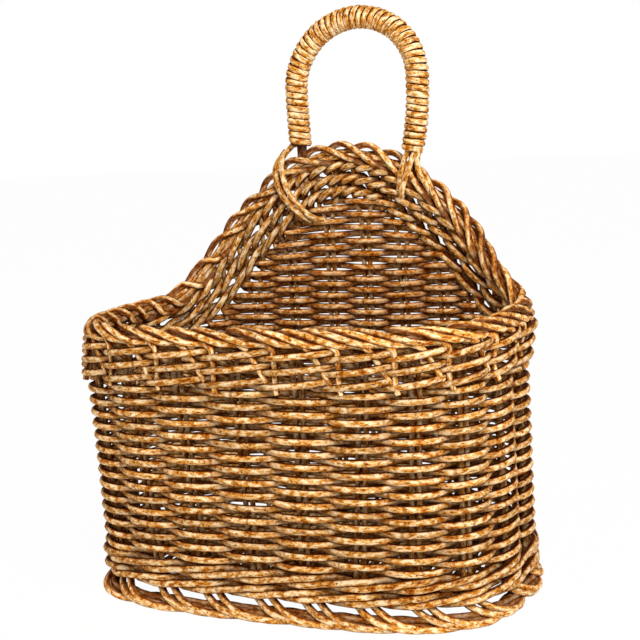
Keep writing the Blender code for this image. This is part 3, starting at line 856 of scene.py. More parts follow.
def rows_of_top_wale():
    """Three rows of two rods each, twisted once round every rib and following the rim."""
    sizes = bpy.context.scene.basket_rods
    paths = RodPaths("top_wale_rods", 13)
    ribs = rib_runs()
    inside = -(sizes.stake + sizes.wale) / 2 + TOP_WALE_BITE
    outside = (sizes.stake + sizes.wale) / 2 + TAIL_ROOM
    total = len(ribs) * RIB_STEPS
    for row, centre in enumerate(TOP_WALE_DROPS):
        for strand in (0, 1):
            start = TOP_WALE_START + TOP_WALE_ROW_START * row + TOP_WALE_ROD_START * strand
            points, shades, outs, girths = [], [], [], []
            for step in range(total + 1):
                count = start + TOP_WALE_END_GAP + (len(ribs) - 2 * TOP_WALE_END_GAP) * step / total
                lap, index = divmod(int(count), len(ribs))
                t = count - int(count)
                following = ribs[(index + 1) % len(ribs)] + FULL_RUN * (lap + (index + 1) // len(ribs))
                run = (ribs[index] + FULL_RUN * lap) * (1 - t) + following * t
                arch = in_arch(run)
                turn = count + strand + (lap if len(ribs) % 2 else 0)
                side, rise = twist_place(turn)
                inner_side, inner_rise = twist_place(turn + 1)
                out = WALL_MIDDLE + (outside + inside) / 2 + (outside - inside) / 2 * side
                out = out * (1 - arch) + (WALL_MIDDLE - ARCH_WALE_REACH * inner_side) * arch
                rise = rise * (1 - arch) - inner_rise * arch
                side = side * (1 - arch) - inner_side * arch
                drop = centre + WALE_CLIMB * rise + drift(run, centre, TOP_WALE_LAYER + row, TOP_WALE_DRIFT)
                points.append(rim_point(run, drop, out))
                outs.append(tuple(wall_out(run, RIM_HEIGHT)))
                shades.append(between(side) * WALE_SHADE)
                squeeze = pressed(side, TOP_WALE_PRESS - ARCH_WALE_PRESS * arch)
                girths.append(squeeze * (1 + ARCH_WALE_GIRTH * arch))
            paths.add(points, sizes.wale, shades, outs, girths)
    return paths


BOTTOM_WALE_CENTRES = (0.01985, 0.03000)
BOTTOM_WALE_STEPS = 10
BOTTOM_WALE_START = 17
BOTTOM_WALE_END_GAP = 0.2
BOTTOM_WALE_PLAY = 0.0002
BOTTOM_WALE_CLIMB = 0.0032
BOTTOM_WALE_BULGE = 0.0008
# A stroke of three-rod waling by pairs passed: how far out it lies, and how high
OUT_KNOTS = ((0.0, 1.0), (1.0, 1.0), (1.5, 0.0), (2.0, -1.0), (2.5, 0.0), (3.0, 1.0))
HIGH_KNOTS = ((0.0, -0.75), (0.5, 0.0), (1.0, 0.75), (1.5, 1.0), (2.0, 0.0), (2.5, -1.0), (3.0, -0.75))


def three_rod_wave(place):
    """How far out and how high a rod lies at a place in its stroke, from 0 to 3 pairs."""
    found = []
    for knots in (OUT_KNOTS, HIGH_KNOTS):
        i = max(k for k in range(len(knots) - 1) if knots[k][0] <= place)
        t = (place - knots[i][0]) / (knots[i + 1][0] - knots[i][0])
        t = t * t * (3 - 2 * t)
        found.append(knots[i][1] * (1 - t) + knots[i + 1][1] * t)
    return found


def rows_of_bottom_wale():
    """Two rows of three rods each, in front of two pairs and behind one."""
    sizes = bpy.context.scene.basket_rods
    paths = RodPaths("bottom_wale_rods", 14)
    reach = (sizes.stake + sizes.wale) / 2 + BOTTOM_WALE_PLAY
    steps = PAIR_COUNT * BOTTOM_WALE_STEPS
    for row, centre in enumerate(BOTTOM_WALE_CENTRES):
        for strand in range(3):
            points, shades, outs = [], [], []
            start = BOTTOM_WALE_START + strand
            for step in range(steps + 1):
                count = start + BOTTOM_WALE_END_GAP + (PAIR_COUNT - 2 * BOTTOM_WALE_END_GAP) * step / steps
                run = pair_place(count, centre)
                side, high = three_rod_wave((-count + strand + row) % 3)
                z = centre + BOTTOM_WALE_CLIMB * high + drift(run, centre, *BOTTOM_WALE_DRIFT)
                out = WALL_MIDDLE + reach * side + (BOTTOM_WALE_BULGE if side > 0 else 0.0)
                points.append(wall_point(run, z, out))
                outs.append(tuple(wall_out(run, z)))
                shades.append(between(side) * WALE_SHADE)
            paths.add(points, sizes.wale, shades, outs)
    return paths


# Along the rim before the rod's tail, the same in the raised back, and the angle round the border's middle
BORDER_TURN = ((0.0820, 0.0960, 262.0), (0.0730, 0.0870, 235.0), (0.0650, 0.0760, 198.0),
               (0.0600, 0.0640, 150.0), (0.0550, 0.0520, 102.0), (0.0480, 0.0440, 76.0),
               (0.0370, 0.0350, 48.0), (0.0265, 0.0260, 16.0), (0.0165, 0.0165, -8.0))
BORDER_AXIS = -0.0056
BORDER_BITE = 0.0007
# How much the crest of the border stands up, what the arch adds, and the angles of the crest
BORDER_CREST = 0.0006
ARCH_CREST = 0.0014
CREST_DEGREES = (70, 120)
BORDER_LINE_STEPS = 5
# Chance in laying the rods: along the rim, up, in length as shares, and where a tail is cut off
TAIL_CHANCE = 0.0010
LIFT_CHANCE = 0.0004
STRETCH_SHARES = (0.94, 1.05)
CUT_CHANCE = 0.001
# Rods between the pairs' own, and where each lies between its neighbours
TAIL_LEFT_OF_PAIR = 0.0160
BETWEEN_SHARES = (0.53, 0.47)
ARCH_BORDER_STEP = 0.0225
ARCH_FIRST_PAIR = 17
ARCH_LAST_PAIR = 26
# Where a rod comes over the border: along the rim from its tail, drop, and out from the axis
TAIL_TURN = ((0.0070, 0.0097, 0.0022), (0.0012, 0.0112, 0.0046))
TAIL_TOP = 0.0160
# Down the tail: shares of its slant, how far it lies behind the wale's rods, and its first bulge
TAIL_SHARES = (0.24, 0.60)
TAIL_BEHIND = 0.0018
TAIL_BULGE = 0.0010
# Slant of a pair's own tail and of one between, the drop of its cut end, and how far that stands off
PAIR_TAIL = (0.0045, 0.0405, 0.0030)
BETWEEN_TAIL = (0.0165, 0.0335, 0.0)
# A tail is under the wale below this drop and past this point of its line
TAIL_HIDDEN_DROP = 0.0120
TAIL_HIDDEN_POINT = 45
TAIL_SHADE = 0.08
TAIL_GIRTH = 0.90
INNER_SHADE_DROP = 0.011
INNER_SHADE = 0.6
# Rods inside the border, twisted round its axis: length of run of a radian, and share of the way round
BORDER_CORE = 0.0023
BORDER_CORE_STEPS = 260
BORDER_CORE_START = 0.4
BORDER_CORE_TWIST = 0.035
BORDER_CORE_GIRTH = 0.92
# Their painted shade, less of it in the raised back
BORDER_CORE_SHADE = 0.55
ARCH_CORE_LIGHT = 0.40
LAP_SHARE = 0.998


def border_tails():
    """Lengths along the rim where the border's rods turn down, and which lie between the pairs' own."""
    tails = []
    near, far = BETWEEN_SHARES
    for k in range(PAIR_COUNT):
        here, following = (pair_run(k + i, SIDE_WEAVE_TOP) + TAIL_LEFT_OF_PAIR for i in (0, 1))
        tails += [(length_at(here), False), (length_at(here * near + following * far), True)]
    first, last = 2 * ARCH_FIRST_PAIR + 1, 2 * (ARCH_LAST_PAIR - PAIR_COUNT)
    start, end = tails[first][0] - RIM_LENGTH, tails[last][0]
    count = round((end - start) / ARCH_BORDER_STEP)
    return tails[last:first + 1] + [(start + (end - start) * k / count, k % 2 == 0) for k in range(1, count)]


def rods_of_border():
    """Rods rolled round the rim, then turned down outside as tails that are cut off under the waling."""
    sizes = bpy.context.scene.basket_rods
    paths = RodPaths("rim_border_rods", 15)
    chance = paths.random.uniform
    half_high = (BORDER_HEIGHT - sizes.border) / 2
    half_wide = half_high - BORDER_BITE
    behind = WALL_MIDDLE + sizes.stake / 2 + TAIL_BEHIND
    for tail_length, between_pairs in border_tails():
        arch = in_arch(run_at(tail_length))
        tail_length += chance(-TAIL_CHANCE, TAIL_CHANCE)
        tail = run_at(tail_length)
        lift = chance(-LIFT_CHANCE, LIFT_CHANCE)
        stretch = chance(*STRETCH_SHARES)
        knots = []
        for before, before_raised, degrees in BORDER_TURN:
            before += (before_raised - before) * arch
            angle = radians(degrees)
            on_crest = CREST_DEGREES[0] < degrees < CREST_DEGREES[1]
            crest = BORDER_CREST + ARCH_CREST * arch if on_crest else 0.0
            knots.append((run_at(tail_length + before * stretch),
                          BORDER_HEIGHT / 2 - half_high * sin(angle) + lift - crest,
                          BORDER_AXIS + half_wide * cos(angle)))
        knots += [(tail + along, drop, BORDER_AXIS + out) for along, drop, out in TAIL_TURN]
        slant, end, stand_off = BETWEEN_TAIL if between_pairs else PAIR_TAIL
        knots.append((tail - slant * TAIL_SHARES[0], TAIL_TOP, behind + TAIL_BULGE))
        knots.append((tail - slant * TAIL_SHARES[1], (TAIL_TOP + end) / 2, behind))
        knots.append((tail - slant, end + chance(-CUT_CHANCE, CUT_CHANCE), behind + stand_off))
        line = smooth_line(knots, BORDER_LINE_STEPS)
        shades, girths, outs = [], [], []
        for i, (run, drop, out) in enumerate(line):
            hidden = drop > TAIL_HIDDEN_DROP and i > TAIL_HIDDEN_POINT
            inner = out < BORDER_AXIS and drop > INNER_SHADE_DROP
            shades.append(TAIL_SHADE if hidden else (INNER_SHADE if inner else 0.0))
            girths.append(TAIL_GIRTH if hidden else 1.0)
            outwards = wall_out(run, RIM_HEIGHT)
            spoke = outwards * (out - BORDER_AXIS) + Vector((0.0, 0.0, BORDER_HEIGHT / 2 - drop))
            outs.append(tuple(outwards if hidden else spoke.normalized()))
        paths.add([rim_point(*knot) for knot in line], sizes.border, shades, outs, girths)
    for third in range(3):
        points, shades, outs = [], [], []
        for step in range(BORDER_CORE_STEPS + 1):
            run = FULL_RUN * step / BORDER_CORE_STEPS * LAP_SHARE + BORDER_CORE_START
            turn = run / BORDER_CORE_TWIST + third * 2 * pi / 3
            drop = BORDER_HEIGHT / 2 + BORDER_CORE * sin(turn)
            points.append(rim_point(run, drop, BORDER_AXIS + BORDER_CORE * cos(turn)))
            shades.append(BORDER_CORE_SHADE - ARCH_CORE_LIGHT * in_arch(run))
            outs.append(tuple(wall_out(run, RIM_HEIGHT)))
        paths.add(points, sizes.border * BORDER_CORE_GIRTH, shades, outs)
    return paths


# Foot rods: along the wall from the pair, height, and out from the outer face
FOOT_LINE = ((0.0, 0.0235, -0.0051), (-0.0008, 0.0180, -0.0054), (-0.0040, 0.0145, -0.0046),
             (-0.0095, 0.0108, -0.0012), (-0.0175, 0.0074, 0.0026), (-0.0290, 0.0044, 0.0044),
             (-0.0450, 0.0026, 0.0036), (-0.0620, 0.0030, -0.0002), (-0.0760, 0.0048, -0.0040),
             (-0.0900, 0.0068, -0.0048), (-0.1020, 0.0062, -0.0036), (-0.1100, 0.0050, -0.0012))
FOOT_SPREAD = 0.0056
FOOT_TOP_SPREAD_SHARE = 0.75
FOOT_PAIR_HEIGHT = 0.02
FOOT_CHANCE = 0.0008
# Knots from this one on share the chance shift of their rod
FOOT_CHANCE_FROM = 3
FOOT_LINE_STEPS = 4
FOOT_CLEAR = 0.0002
# The ring is drawn in at the basket's two ends, below a height
FOOT_END_PULL = 0.0048
FOOT_PULL_TOP = 0.020
FOOT_PULL_BLEND = 0.010
FOOT_PULL_POWER = 6
# Painted shade of the rods in the ring: above one height, or inside and below another
FOOT_TOP_SHADE = 0.5
FOOT_TOP_SHADE_HEIGHT = 0.0175
FOOT_INNER_SHADE = 0.3
FOOT_INNER_OUT = -0.0035
FOOT_INNER_HEIGHT = 0.01
# Rods inside the ring, twisted round its axis
FOOT_CORE_RODS = 4
FOOT_CORE_HEIGHT = 0.0056
FOOT_CORE_OUT = -0.0016
FOOT_CORE_RADIUS = 0.0025
FOOT_CORE_STEPS = 240
FOOT_CORE_START = 0.31
FOOT_CORE_TWIST = 0.030
FOOT_CORE_GIRTH = 0.8
FOOT_CORE_SHADE = 0.6


def foot_point(run, z, out):
    """Point of the foot, which is drawn in a little at the basket's two ends."""
    low = clamp((FOOT_PULL_TOP - z) / FOOT_PULL_BLEND)
    along = wall_out(run, z).x
    pull = FOOT_END_PULL * low * (1.0 if along < 0 else RIGHT_SHARE)
    return wall_point(run, z, out - pull * abs(along) ** FOOT_PULL_POWER)


def foot_shade(z, out):
    if z > FOOT_TOP_SHADE_HEIGHT:
        return FOOT_TOP_SHADE
    return FOOT_INNER_SHADE if out < FOOT_INNER_OUT and z < FOOT_INNER_HEIGHT else 0.0


def rods_of_foot():
    """Lower ends of the stakes, slanted and rolled into the ring that the basket stands on."""
    sizes = bpy.context.scene.basket_rods
    paths = RodPaths("foot_border_rods", 16)
    for k in range(PAIR_COUNT):
        for side in (-1, 1):
            away = paths.random.uniform(-FOOT_CHANCE, FOOT_CHANCE)
            knots = []
            for i, (along, z, out) in enumerate(FOOT_LINE):
                spread = side * FOOT_SPREAD * (FOOT_TOP_SPREAD_SHARE if i == 0 else 1.0)
                shift = away if i >= FOOT_CHANCE_FROM else 0.0
                knots.append((pair_run(k, FOOT_PAIR_HEIGHT) + spread + along + shift, z, out))
            line = smooth_line(knots, FOOT_LINE_STEPS)
            points = [foot_point(run, max(z, sizes.foot / 2 + FOOT_CLEAR), out) for run, z, out in line]
            shades = [foot_shade(z, out) for run, z, out in line]
            outs = [tuple(wall_out(run, z)) for run, z, out in line]
            paths.add(points, sizes.foot, shades, outs)
    for turn in range(FOOT_CORE_RODS):
        points, outs = [], []
        for step in range(FOOT_CORE_STEPS + 1):
            run = FULL_RUN * (step / FOOT_CORE_STEPS * LAP_SHARE + FOOT_CORE_START)
            angle = run / FOOT_CORE_TWIST + turn * 2 * pi / FOOT_CORE_RODS
            out = FOOT_CORE_OUT + FOOT_CORE_RADIUS * cos(angle)
            points.append(foot_point(run, FOOT_CORE_HEIGHT + FOOT_CORE_RADIUS * sin(angle), out))
            outs.append(tuple(wall_out(run, FOOT_CORE_HEIGHT)))
        paths.add(points, sizes.foot * FOOT_CORE_GIRTH, [FOOT_CORE_SHADE] * len(points), outs)
    return paths


STAKE_APART = 0.0050
STAKE_START = 0.0225
STAKE_STEPS = 8
STAKE_SHADE = 0.4
# How far a stake reaches into the border, and where a spread one leaves its pair
STAKE_TOP_DROP = BORDER_HEIGHT - 0.002
SPREAD_DROP = 0.0450
SPREAD_LEAST = 0.004
SPREAD_LONG = 0.014
SPREAD_BELOW = 0.010
SPREAD_ABOVE = 0.006
EXTRA_STAKE_SEAT = 0.004
EXTRA_STAKE_STEPS = 5


def stake_top(run):
    return height_below_rim(run, STAKE_TOP_DROP)


def rods_of_stakes():
    """Upright pairs, from the top of the foot to the border; in the raised back they part."""
    sizes = bpy.context.scene.basket_rods
    paths = RodPaths("stake_rods", 17)
    for k in range(PAIR_COUNT):
        for side in (0, 1):
            beside = (-1, 1)[side] * STAKE_APART / 2
            knots = []
            for step in range(STAKE_STEPS + 1):
                z = STAKE_START + (SIDE_WEAVE_TOP - STAKE_START) * step / STAKE_STEPS
                knots.append((pair_run(k, z) + beside, z, WALL_MIDDLE))
            top_run = pair_run(k, SIDE_WEAVE_TOP)
            if k in SPREAD_PAIRS:
                spread_run = top_run + SPREAD_PAIRS[k][side]
                z = max(height_below_rim(spread_run, SPREAD_DROP), SIDE_WEAVE_TOP + SPREAD_LEAST)
                if z > SIDE_WEAVE_TOP + SPREAD_LONG:
                    knots.append((top_run + beside, z - SPREAD_BELOW, WALL_MIDDLE))
                knots.append((spread_run, z + SPREAD_ABOVE, WALL_MIDDLE))
                knots.append((spread_run, stake_top(spread_run), WALL_MIDDLE))
            else:
                knots.append((top_run + beside, stake_top(top_run), WALL_MIDDLE))
            line = smooth_line(knots, 2)
            paths.add([wall_point(*knot) for knot in line], sizes.stake, [STAKE_SHADE] * len(line))
    for share in EXTRA_STAKE_SHARES:
        run = share * FULL_RUN
        low = SIDE_WEAVE_TOP - EXTRA_STAKE_SEAT
        length = stake_top(run) - SIDE_WEAVE_TOP + EXTRA_STAKE_SEAT
        points = [wall_point(run, low + length * step / EXTRA_STAKE_STEPS, WALL_MIDDLE)
                  for step in range(EXTRA_STAKE_STEPS + 1)]
        paths.add(points, sizes.stake, [STAKE_SHADE] * len(points))
    return paths


def inner_half_width(y, z, inset):
    """Half width of the outline at a depth and height, inset from the outer face."""
    low, high = halve(0.0, HALF_RUN, lambda run: wall_point(run, z, -inset).y > y)
    return wall_point((low + high) / 2, z, -inset).x


BASE_PITCH = 0.0037
BASE_ROD = 0.0032
BASE_ROD_STEPS = 24
BASE_ROD_INSET = WALL_THICKNESS + 0.0006
BASE_ROD_SHADE = 0.7
# Points tried along a rod for where the wall lets it lie, and the fewest that make a rod
BASE_TRIES = 60
BASE_LEAST_TRIES = 4
BASE_STICK_SEAT = 0.002
BASE_STICK_STEPS = 40
BASE_STICK_SHADE = 0.3
# Past the outer sticks a rod's stroke goes on a little, over a length
BASE_END_REACH = 0.05
BASE_END_COUNT = 0.45


def sticks_passed(y, sticks):
    """Fractional number of base sticks behind a depth, 0 on the first."""
    if y >= sticks[0]:
        return -min((y - sticks[0]) / BASE_END_REACH, BASE_END_COUNT)
    if y < sticks[-1]:
        return len(sticks) - 1 + min((sticks[-1] - y) / BASE_END_REACH, BASE_END_COUNT)
    i = max(k for k in range(len(sticks) - 1) if y < sticks[k])
    return i + (sticks[i] - y) / (sticks[i] - sticks[i + 1])


def rods_of_base():
    """Floor of the pocket: rods over and under three thick sticks."""
    paths = RodPaths("base_rods", 18)
    z = BASE_BOTTOM + BASE_THICKNESS / 2
    depth = BACK_Y - CORNER_Y + FRONT_DEPTH - FRONT_LEAN * (RIM_HEIGHT - z) / RIM_HEIGHT
    sticks = [BACK_Y - share * depth for share in BASE_STICK_SHARES]
    for y in sticks:
        reach = inner_half_width(y, z, WALL_THICKNESS) + BASE_STICK_SEAT
        points = [Vector((reach * (2 * step / BASE_STICK_STEPS - 1), y, z))
                  for step in range(BASE_STICK_STEPS + 1)]
        paths.add(points, BASE_STICK_DIAMETER, [BASE_STICK_SHADE] * len(points))
    back = BACK_Y - BASE_ROD_INSET
    front = plan_point(HALF_RUN, z).y + BASE_ROD_INSET
    edge = inner_half_width(CORNER_Y, z, BASE_ROD_INSET)
    count = int(2 * edge / BASE_PITCH)
    reach = (BASE_STICK_DIAMETER + BASE_ROD) / 2
    for k in range(count):
        x = edge * (2 * (k + 0.5) / count - 1)
        inside = [back + (front - back) * step / BASE_TRIES for step in range(BASE_TRIES + 1)]
        inside = [y for y in inside
                  if inner_half_width(y, z, BASE_ROD_INSET) > abs(x) + BASE_ROD / 2]
        if len(inside) < BASE_LEAST_TRIES:
            continue
        points, shades = [], []
        for step in range(BASE_ROD_STEPS + 1):
            y = inside[0] + (inside[-1] - inside[0]) * step / BASE_ROD_STEPS
            side = over_under(sticks_passed(y, sticks) + k)
            points.append(Vector((x, y, z + reach * side)))
            shades.append((1 - abs(side)) * BASE_ROD_SHADE)
        paths.add(points, BASE_ROD, shades)
    return paths


# ---- handle ----

HOOP_LEFT_X = HOOP_LEFT_SHARE * FULL_RUN
HOOP_RIGHT_X = HOOP_RIGHT_SHARE * FULL_RUN
HOOP_RADIUS = (HOOP_RIGHT_X - HOOP_LEFT_X) / 2
HOOP_MIDDLE_X = (HOOP_RIGHT_X + HOOP_LEFT_X) / 2
HOOP_LEFT_END = rim_height(HOOP_LEFT_X) + WRAP_LEFT_LIFT
HOOP_RIGHT_END = rim_height(HOOP_RIGHT_X) + WRAP_RIGHT_LIFT
HOOP_SPRING = HOOP_LEFT_END + HOOP_LEG_HEIGHT
HOOP_Y = BACK_Y - HOOP_INSET
HOOP_LENGTH = HOOP_LEG_HEIGHT + pi * HOOP_RADIUS + HOOP_SPRING - HOOP_RIGHT_END
# The legs of the real hoop draw together at the bottom
HOOP_SHIFT = -0.0003
HOOP_LEFT_PINCH = 0.0006
HOOP_RIGHT_PINCH = 0.0062
HOOP_TOP_LEAN = 0.0034
HOOP_TOP_DROP = 0.0010
WRAP_TURN_POINTS = 20
WRAP_THICKNESS_SHARE = 0.62
WRAP_RADIUS = 0.0083
WRAP_SLANT = 0.0006
# Layers of noise for how a turn leans and swells, by turns, and how much
WRAP_LEAN = (0.9, 0.0002)
WRAP_SWELL = (1.3, 0.00015)
WRAP_UNEVENNESS = 0.0002
CORE_STEP = 0.0035
CORE_STEPS = 60
# Painted shade of the core where it shows between the turns of the strand, and less on its tails below
CORE_SHADE = 0.85
CORE_TAIL_SHADE = 0.3
# How far the rear core rods run on below the winding, left and right
CORE_DEPTHS = (0.030, 0.034)
# How much thicker than a stake the core rods and the tails on both sides are
CORE_GROWTH = 0.0003
LEFT_TAIL_GROWTH = 0.0006
RIGHT_TAIL_GROWTH = 0.0004
INNER_FACE_Y = 0.0811
# Where a tail leaves the winding, first lies on the inner face, and dives into it
TAIL_LEAVES = -0.0015
TAIL_LANDS = 0.0002
TAIL_DIVES = 0.0035
TAIL_STEPS = 6

# Tails of the core rods on the basket's inner face, as x and height
LEFT_TAILS = (((-0.0385, 0.2985), (-0.0455, 0.2900), (-0.0470, 0.2790), (-0.0430, 0.2655),
               (-0.0340, 0.2535), (-0.0235, 0.2457), (-0.0165, 0.2440)),
              ((-0.0440, 0.2950), (-0.0505, 0.2860), (-0.0525, 0.2775), (-0.0500, 0.2670),
               (-0.0436, 0.2572), (-0.0348, 0.2487), (-0.0265, 0.2425)))
RIGHT_TAILS = (((0.0570, 0.2980), (0.0515, 0.2900), (0.0478, 0.2815), (0.0452, 0.2735), (0.0425, 0.2640)),
               ((0.0600, 0.2960), (0.0562, 0.2881), (0.0522, 0.2795), (0.0490, 0.2717), (0.0460, 0.2635),
                (0.0443, 0.2580)),
               ((0.0605, 0.2930), (0.0590, 0.2859), (0.0592, 0.2779), (0.0628, 0.2705), (0.0665, 0.2615)))


def hoop_frame(distance):
    """Point of the hoop's middle line and its outward direction, from the left wrap end."""
    bow = pi * HOOP_RADIUS
    if distance < HOOP_LEG_HEIGHT:
        pinch = HOOP_LEFT_PINCH * ((HOOP_LEG_HEIGHT - distance) / HOOP_LEG_HEIGHT) ** 2
        return (Vector((HOOP_LEFT_X + HOOP_SHIFT + pinch, HOOP_Y, HOOP_LEFT_END + distance)),
                Vector((-1.0, 0.0, 0.0)))
    if distance > HOOP_LEG_HEIGHT + bow:
        down = distance - HOOP_LEG_HEIGHT - bow
        pinch = HOOP_RIGHT_PINCH * (down / (HOOP_SPRING - HOOP_RIGHT_END)) ** 2
        return (Vector((HOOP_RIGHT_X + HOOP_SHIFT - pinch, HOOP_Y, HOOP_SPRING - down)),
                Vector((1.0, 0.0, 0.0)))
    angle = (distance - HOOP_LEG_HEIGHT) / HOOP_RADIUS
    high = sin(angle)
    outward = Vector((-cos(angle), 0.0, high))
    centre = Vector((HOOP_MIDDLE_X + HOOP_SHIFT + HOOP_TOP_LEAN * high, HOOP_Y,
                     HOOP_SPRING - HOOP_TOP_DROP * high))
    return centre + outward * HOOP_RADIUS, outward


def tail_points(tail):
    """Tail on the inner face: it comes out of the winding and dives into the back at its end."""
    depths = [INNER_FACE_Y] * len(tail)
    depths[0] = HOOP_Y + TAIL_LEAVES
    depths[1] = INNER_FACE_Y + TAIL_LANDS
    depths[-1] = INNER_FACE_Y + TAIL_DIVES
    knots = [(x, y, z) for (x, z), y in zip(tail, depths)]
    return [Vector(point) for point in smooth_line(knots, TAIL_STEPS)]


def rods_of_handle_core():
    """Core of the hoop: four rods, whose ends run on over the border and are let into the back."""
    sizes = bpy.context.scene.basket_rods
    paths = RodPaths("handle_core_rods", 19)
    for outward_step, back_step in ((-0.5, -0.5), (0.5, -0.5), (-0.5, 0.5), (0.5, 0.5)):
        points = []
        back = Vector((0.0, back_step * CORE_STEP, 0.0))
        for step in range(CORE_STEPS + 1):
            centre, outward = hoop_frame(HOOP_LENGTH * step / CORE_STEPS)
            points.append(centre + outward * outward_step * CORE_STEP + back)
        shades = [CORE_SHADE] * len(points)
        if back_step > 0:
            left, right = (Vector((0.0, 0.0, -depth)) for depth in CORE_DEPTHS)
            points = [points[0] + left] + points + [points[-1] + right]
            shades = [CORE_TAIL_SHADE] + shades + [CORE_TAIL_SHADE]
        paths.add(points, sizes.stake + CORE_GROWTH, shades)
    for tails, growth in ((LEFT_TAILS, LEFT_TAIL_GROWTH), (RIGHT_TAILS, RIGHT_TAIL_GROWTH)):
        for tail in tails:
            paths.add(tail_points(tail), sizes.stake + growth)
    return paths


def strand_of_wrap():
    """One flat strand wound closely round the core from leg to leg."""
    sizes = bpy.context.scene.basket_rods
    paths = RodPaths("handle_wrap_strand", 20)
    radius = WRAP_RADIUS - sizes.strand / 2 * WRAP_THICKNESS_SHARE
    total = round(HOOP_LENGTH / WRAP_PITCH) * WRAP_TURN_POINTS
    points, outs = [], []
    for step in range(total + 1):
        turn = step / WRAP_TURN_POINTS
        angle = 2 * pi * turn
        lean = WRAP_LEAN[1] * noise.noise(Vector((turn * WRAP_LEAN[0], 3.1, 0.0)))
        swell = WRAP_SWELL[1] * noise.noise(Vector((turn * WRAP_SWELL[0], 0.0, 8.2)))
        centre, outward = hoop_frame(HOOP_LENGTH * step / total + lean + WRAP_SLANT * cos(angle))
        spoke = outward * cos(angle) + Vector((0.0, 1.0, 0.0)) * sin(angle)
        points.append(centre + spoke * (radius + swell))
        outs.append(tuple(spoke))
    paths.add(points, sizes.strand, None, outs)
    return paths


# ---- stage ----

CAMERA_PLACE = (0.43852, -0.87697, 0.32928)
CAMERA_HEADING = 0.4494
CAMERA_PITCH = 0.1477
CAMERA_ROLL = -0.0604
SENSOR_WIDTH = 36.0
CLIP_START = 0.01
LAMP_TARGET = (0.0, 0.0, 0.18)
# Place and width of each lamp
KEY_LAMP = ((1.15, -1.0, 1.35), 0.8)
FILL_LAMP = ((-1.3, -0.9, 0.6), 0.9)
SKY_COLOUR = "#FFE0B8"
WHITE = (1.0, 1.0, 1.0, 1.0)
PAPER_ROUGHNESS = 0.9


def add_lamp(name, place, size, power):
    """Square lamp that faces the basket."""
    toward = (Vector(LAMP_TARGET) - Vector(place)).normalized()
    turn = toward.to_track_quat("-Z", "Y").to_matrix().to_4x4()
    lamp = bpy.data.lights.new(name, "AREA")
    lamp.energy = power
    lamp.shape = "SQUARE"
    lamp.size = size
    item = bpy.data.objects.new(name, lamp)
    item.matrix_world = Matrix.Translation(place) @ turn
    bpy.context.scene.collection.objects.link(item)


def white_to_camera(tree, shader, share):
    """Mixes a share of plain white into what the camera sees."""
    path = add_node(tree, "ShaderNodeLightPath").outputs
    seen = add_node(tree, "ShaderNodeMath", {0: path["Is Camera Ray"], 1: share},
                    operation="MULTIPLY").outputs[0]
    white = add_node(tree, "ShaderNodeEmission", {"Color": WHITE, "Strength": 1.0}).outputs[0]
    return add_node(tree, "ShaderNodeMixShader", {"Fac": seen, 1: shader, 2: white}).outputs[0]


def build_floor(stage):
    half = stage.floor_width / 2
    mesh = bpy.data.meshes.new("floor")
    corners = [(-half, -half, 0.0), (half, -half, 0.0), (half, half, 0.0), (-half, half, 0.0)]
    mesh.from_pydata(corners, [], [(0, 1, 2, 3)])
    item = bpy.data.objects.new("floor", mesh)
    bpy.context.scene.collection.objects.link(item)
    material = bpy.data.materials.new("matt_white_paper")
    material.use_nodes = True
    tree = material.node_tree
    tree.nodes.clear()
    paper = add_node(tree, "ShaderNodeBsdfPrincipled",
                     {"Base Color": tuple(stage.floor_colour), "Roughness": PAPER_ROUGHNESS}).outputs[0]
    add_node(tree, "ShaderNodeOutputMaterial", {"Surface": white_to_camera(tree, paper, stage.floor_clear)})
    mesh.materials.append(material)


def build_world(stage):
    world = bpy.data.worlds.new("studio")
    bpy.context.scene.world = world
    world.use_nodes = True
    tree = world.node_tree
    tree.nodes.clear()
    soft, white = (add_node(tree, "ShaderNodeBackground", {"Color": colour, "Strength": strength}).outputs[0]
                   for colour, strength in ((linear(SKY_COLOUR), stage.sky), (WHITE, 1.0)))
    seen = add_node(tree, "ShaderNodeLightPath").outputs["Is Camera Ray"]
    mixed = add_node(tree, "ShaderNodeMixShader", {"Fac": seen, 1: soft, 2: white}).outputs[0]
    add_node(tree, "ShaderNodeOutputWorld", {"Surface": mixed})


def build_camera(stage):
    ahead = Vector((-sin(CAMERA_HEADING) * cos(CAMERA_PITCH),
                    cos(CAMERA_HEADING) * cos(CAMERA_PITCH), -sin(CAMERA_PITCH)))
    level = Vector((cos(CAMERA_HEADING), sin(CAMERA_HEADING), 0.0))
    up = level.cross(ahead)
    right = level * cos(CAMERA_ROLL) + up * sin(CAMERA_ROLL)
    top = up * cos(CAMERA_ROLL) - level * sin(CAMERA_ROLL)
    data = bpy.data.cameras.new("camera")
    data.lens = stage.lens
    data.sensor_width = SENSOR_WIDTH
    data.clip_start = CLIP_START
    item = bpy.data.objects.new("camera", data)
    turn = Matrix((right, top, -ahead)).transposed().to_4x4()
    item.matrix_world = Matrix.Translation(CAMERA_PLACE) @ turn
    bpy.context.scene.collection.objects.link(item)
    bpy.context.scene.camera = item


# ---- operators ----

class BASKET_OT_stage(bpy.types.Operator):
    """Lay the floor and set the lamps, the world and the camera"""
    bl_idname = "basket.stage"
    bl_label = "Stage"

    def execute(self, context):
        stage = context.scene.basket_stage
        context.scene.view_settings.view_transform = "Standard"
        build_floor(stage)
        build_world(stage)
        build_camera(stage)
        add_lamp("key_lamp", *KEY_LAMP, stage.key)
        add_lamp("fill_lamp", *FILL_LAMP, stage.fill)
        return {"FINISHED"}


class BASKET_OT_foot(bpy.types.Operator):
    """Roll the open foot from the lower ends of the stakes"""
    bl_idname = "basket.foot"
    bl_label = "Open Foot"

    def execute(self, context):
        make_rods(rods_of_foot(), "rattan_border_varnished", ["foot_border"])
        return {"FINISHED"}


